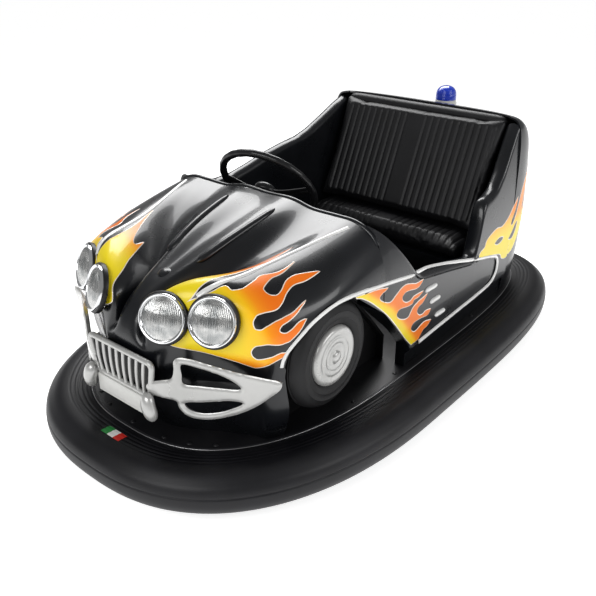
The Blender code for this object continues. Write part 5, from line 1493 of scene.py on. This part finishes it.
# %% Sewn channels
PANEL_STRIP, PANEL_BORDER = 0.042, 0.024
RIBS = 10
PITCH = (SEAT_HALF - PANEL_STRIP - PANEL_BORDER) / RIBS
SEAM_DEPTH, SEAM_HALF = 0.0034, 0.004


def channel(x):
    """Depth of the sewn channels across a panelled pad: none on a rib's crown, all in a seam."""
    gap = abs(x)
    if PANEL_STRIP <= gap <= SEAT_HALF - PANEL_BORDER:
        return SEAM_DEPTH * (0.5 + 0.5 * math.cos(2 * math.pi * (gap - PANEL_STRIP) / PITCH)) ** 5
    edge = min(abs(gap - PANEL_STRIP), abs(gap - (SEAT_HALF - PANEL_BORDER)))
    return SEAM_DEPTH * math.exp(-(edge / SEAM_HALF) ** 2)


def held(value, low, high):
    return max(low, min(high, value))


# %% [markdown]
# ## Cushion and backrest
# The cushion lies on a board and the backrest leans on one, so both are flat behind and crowned towards
# the rider. They are blown up flat round the origin, get their seams there, and are moved into place
# last.

# %% Cushion
SEAT_FRONT_Y, SEAT_REAR_Y, SEAT_TOP, CUSHION = 0.300, 0.530, 0.415, 0.070
cushion_size = (2 * SEAT_HALF - 0.010, SEAT_REAR_Y - SEAT_FRONT_Y - 0.024, CUSHION - 0.022)
cushion_mesh = stuffed("cushion", cushion_size, 0.022, (SEAT_HALF - 0.0006, 0.1145, CUSHION / 2 + 0.004),
                       (0.4, 0.6, 1.0))
cushion_middle = Vector((0, (SEAT_FRONT_Y + SEAT_REAR_Y) / 2, SEAT_TOP - CUSHION / 2))
for v in cushion_mesh.vertices:
    if v.co.z > 0:
        v.co.z -= channel(v.co.x) * ease(v.co.z / 0.02)
    v.co.x = held(v.co.x, -SEAT_HALF + 0.0005, SEAT_HALF - 0.0005)
    v.co.y = held(v.co.y, -0.120, 0.1145)
    v.co.z = held(v.co.z, -CUSHION / 2 + 0.0004, CUSHION / 2 + 0.010)
cushion_mesh.transform(Matrix.Translation(cushion_middle))
cushion_piece = show("seat_cushion_pad", cushion_mesh, FINISHES["black_vinyl"],
                     stands_for=["seat_cushion"], sharp=80)

# %% Backrest
BACK_FOOT, BACK_HEAD, BACK_THICK = Vector((0.0, 0.400, 0.4345)), Vector((0.0, 0.560, 0.785)), 0.045
back_length = (BACK_HEAD - BACK_FOOT).length
lean = math.atan2(BACK_HEAD.y - BACK_FOOT.y, BACK_HEAD.z - BACK_FOOT.z)
back_size = (2 * SEAT_HALF - 0.010, BACK_THICK - 0.018, back_length - 0.008)
back_mesh = stuffed("back", back_size, 0.018,
                    (SEAT_HALF - 0.0006, BACK_THICK / 2 + 0.004, back_length / 2 + 0.003), (0.35, 1.0, 0.35))
for v in back_mesh.vertices:
    if v.co.y < 0:
        upper = ease((back_length / 2 - 0.020 - v.co.z) / 0.02)
        lower = ease((v.co.z + back_length / 2 - 0.014) / 0.02)
        v.co.y += channel(v.co.x) * upper * lower * ease(-v.co.y / 0.010)
    v.co.x = held(v.co.x, -SEAT_HALF + 0.0005, SEAT_HALF - 0.0005)
    v.co.y = held(v.co.y, -BACK_THICK / 2 - 0.010, BACK_THICK / 2 - 0.0005)
    v.co.z = held(v.co.z, -back_length / 2 + 0.0005, back_length / 2 + 0.004)
back_middle = (BACK_HEAD + BACK_FOOT) / 2 + Vector((0, math.cos(lean), -math.sin(lean))) * BACK_THICK / 2
back_mesh.transform(Matrix.Translation(back_middle) @ Matrix.Rotation(-lean, 4, "X"))
back_piece = show("seat_back_pad", back_mesh, FINISHES["black_vinyl"], stands_for=["seat_back"],
                  sharp=80)

# %% [markdown]
# ## Roll and pedal
# A padded roll closes the gap between the backrest and the tail's rim. It is a tube with blunt ends,
# since a thin roll is stuffed hard and shows no folds. The pedal's plate comes from the frame, and seven
# rubber bars give grip.

# %% Roll along the top of the backrest
ROLL_Y, ROLL_Z, ROLL_R, ROLL_HALF = 0.588, 0.7745, 0.0195, 0.3325
roll_path = [Vector((-ROLL_HALF + 2 * ROLL_HALF * k / 60, ROLL_Y, ROLL_Z)) for k in range(61)]
roll_radii = [ROLL_R * math.sqrt(max(0.05, 1 - abs(k / 30 - 1) ** 24)) for k in range(61)]
show("seat_back_roll", joined("roll", [tube(roll_path, roll_radii, sides=24)]), FINISHES["black_vinyl"],
     sharp=80)

# %% Pedal pad
PEDAL_PLACE, PEDAL_LIFT, PEDAL_RISE = (-0.120, -0.170), 0.055, math.radians(38)
TREAD_BARS, TREAD_PITCH, TREAD_HALF, TREAD_HEIGHT, TREAD_R = 7, 0.015, 0.042, 0.0068, 0.0028
tread = []
for k in range(TREAD_BARS):
    y = TREAD_PITCH * (k - (TREAD_BARS - 1) / 2)
    path = [Vector((TREAD_HALF * (t / 4 - 1), y, TREAD_HEIGHT)) for t in range(9)]
    tread.append(tube(path, TREAD_R, sides=10))
pedal_tread = joined("tread", tread)
pedal_tread.transform(Matrix.Translation((*PEDAL_PLACE, DECK_TOP + PEDAL_LIFT))
                      @ Matrix.Rotation(-PEDAL_RISE, 4, "X"))
show("pedal_tread", pedal_tread, gasket_black)

# %% [markdown]
# ## Stage, light and camera
# A white floor and a bright, even studio. A floor that glows a little stays white up to the horizon and
# still takes a faint shadow under the ring. Large soft panels overhead and at the sides give the long
# reflections that show off a polished black moulding.

# %% Stage
FLOOR_GLOW, FLOOR_REACH, AIR = 0.60, 60.0, 0.28
floor_corners = [(a * FLOOR_REACH, b * FLOOR_REACH, cad_box[0][2])
                 for a, b in ((-1, -1), (1, -1), (1, 1), (-1, 1))]
floor_mesh = mesh_from("studio_floor", floor_corners, [(0, 1, 2, 3)])
studio_floor = loose("studio_floor", floor_mesh)
floor_paint = finish("floor_white", (0.80, 0.80, 0.80), (0.82, 0.82, 0.82), (0.6, 0.7))
glow = floor_paint.node_tree.nodes["Principled BSDF"]
glow.inputs["Emission Color"].default_value = (1.0, 1.0, 1.0, 1.0)
glow.inputs["Emission Strength"].default_value = FLOOR_GLOW
studio_floor.data.materials.append(floor_paint)

world = bpy.data.worlds.new("studio_air")
bpy.context.scene.world = world
world.use_nodes = True
world.node_tree.nodes["Background"].inputs["Color"].default_value = (1.0, 1.0, 1.0, 1.0)
world.node_tree.nodes["Background"].inputs["Strength"].default_value = AIR
bpy.context.scene.view_settings.view_transform = "Standard"
bpy.context.scene.view_settings.look = "Medium High Contrast"

# %% Lights


def soft_light(name, place_at, target, size, power):
    lamp = bpy.data.lights.new(name, "AREA")
    lamp.shape = "RECTANGLE"
    lamp.size, lamp.size_y = size
    lamp.energy = power
    made = bpy.data.objects.new(name, lamp)
    made.location = place_at
    made.rotation_euler = (Vector(target) - Vector(place_at)).to_track_quat("-Z", "Y").to_euler()
    bpy.context.scene.collection.objects.link(made)
    print(name, power, "W")


soft_light("overhead", (-1.6, 1.6, 3.0), (0, -0.2, 0.5), (3.0, 1.8), 105)
soft_light("side_box", (3.2, 0.4, 1.8), (0, 0, 0.4), (2.2, 0.9), 26)
soft_light("front_box", (0.4, -3.4, 2.2), (0, -0.3, 0.4), (2.4, 1.2), 40)

# %% [markdown]
# ## Camera
# The camera stands 1.4 m above the floor, in front of the car and to its left, with a normal lens. It is
# placed by azimuth, elevation and distance from a point inside the car, because those three are easy to
# change one at a time.

# %% Camera
AZIMUTH, ELEVATION, DISTANCE = math.radians(40.14), math.radians(26.58), 2.411
AIM = Vector((0.037, -0.174, 0.298))
back = Vector((math.sin(AZIMUTH) * math.cos(ELEVATION), -math.cos(AZIMUTH) * math.cos(ELEVATION),
               math.sin(ELEVATION)))
lens_data = bpy.data.cameras.new("studio_camera")
lens_data.sensor_width = 36.0
lens_data.lens = 44.98
camera = bpy.data.objects.new("studio_camera", lens_data)
camera.location = AIM + back * DISTANCE
camera.rotation_euler = (-back).to_track_quat("-Z", "Y").to_euler()
bpy.context.scene.collection.objects.link(camera)
bpy.context.scene.camera = camera
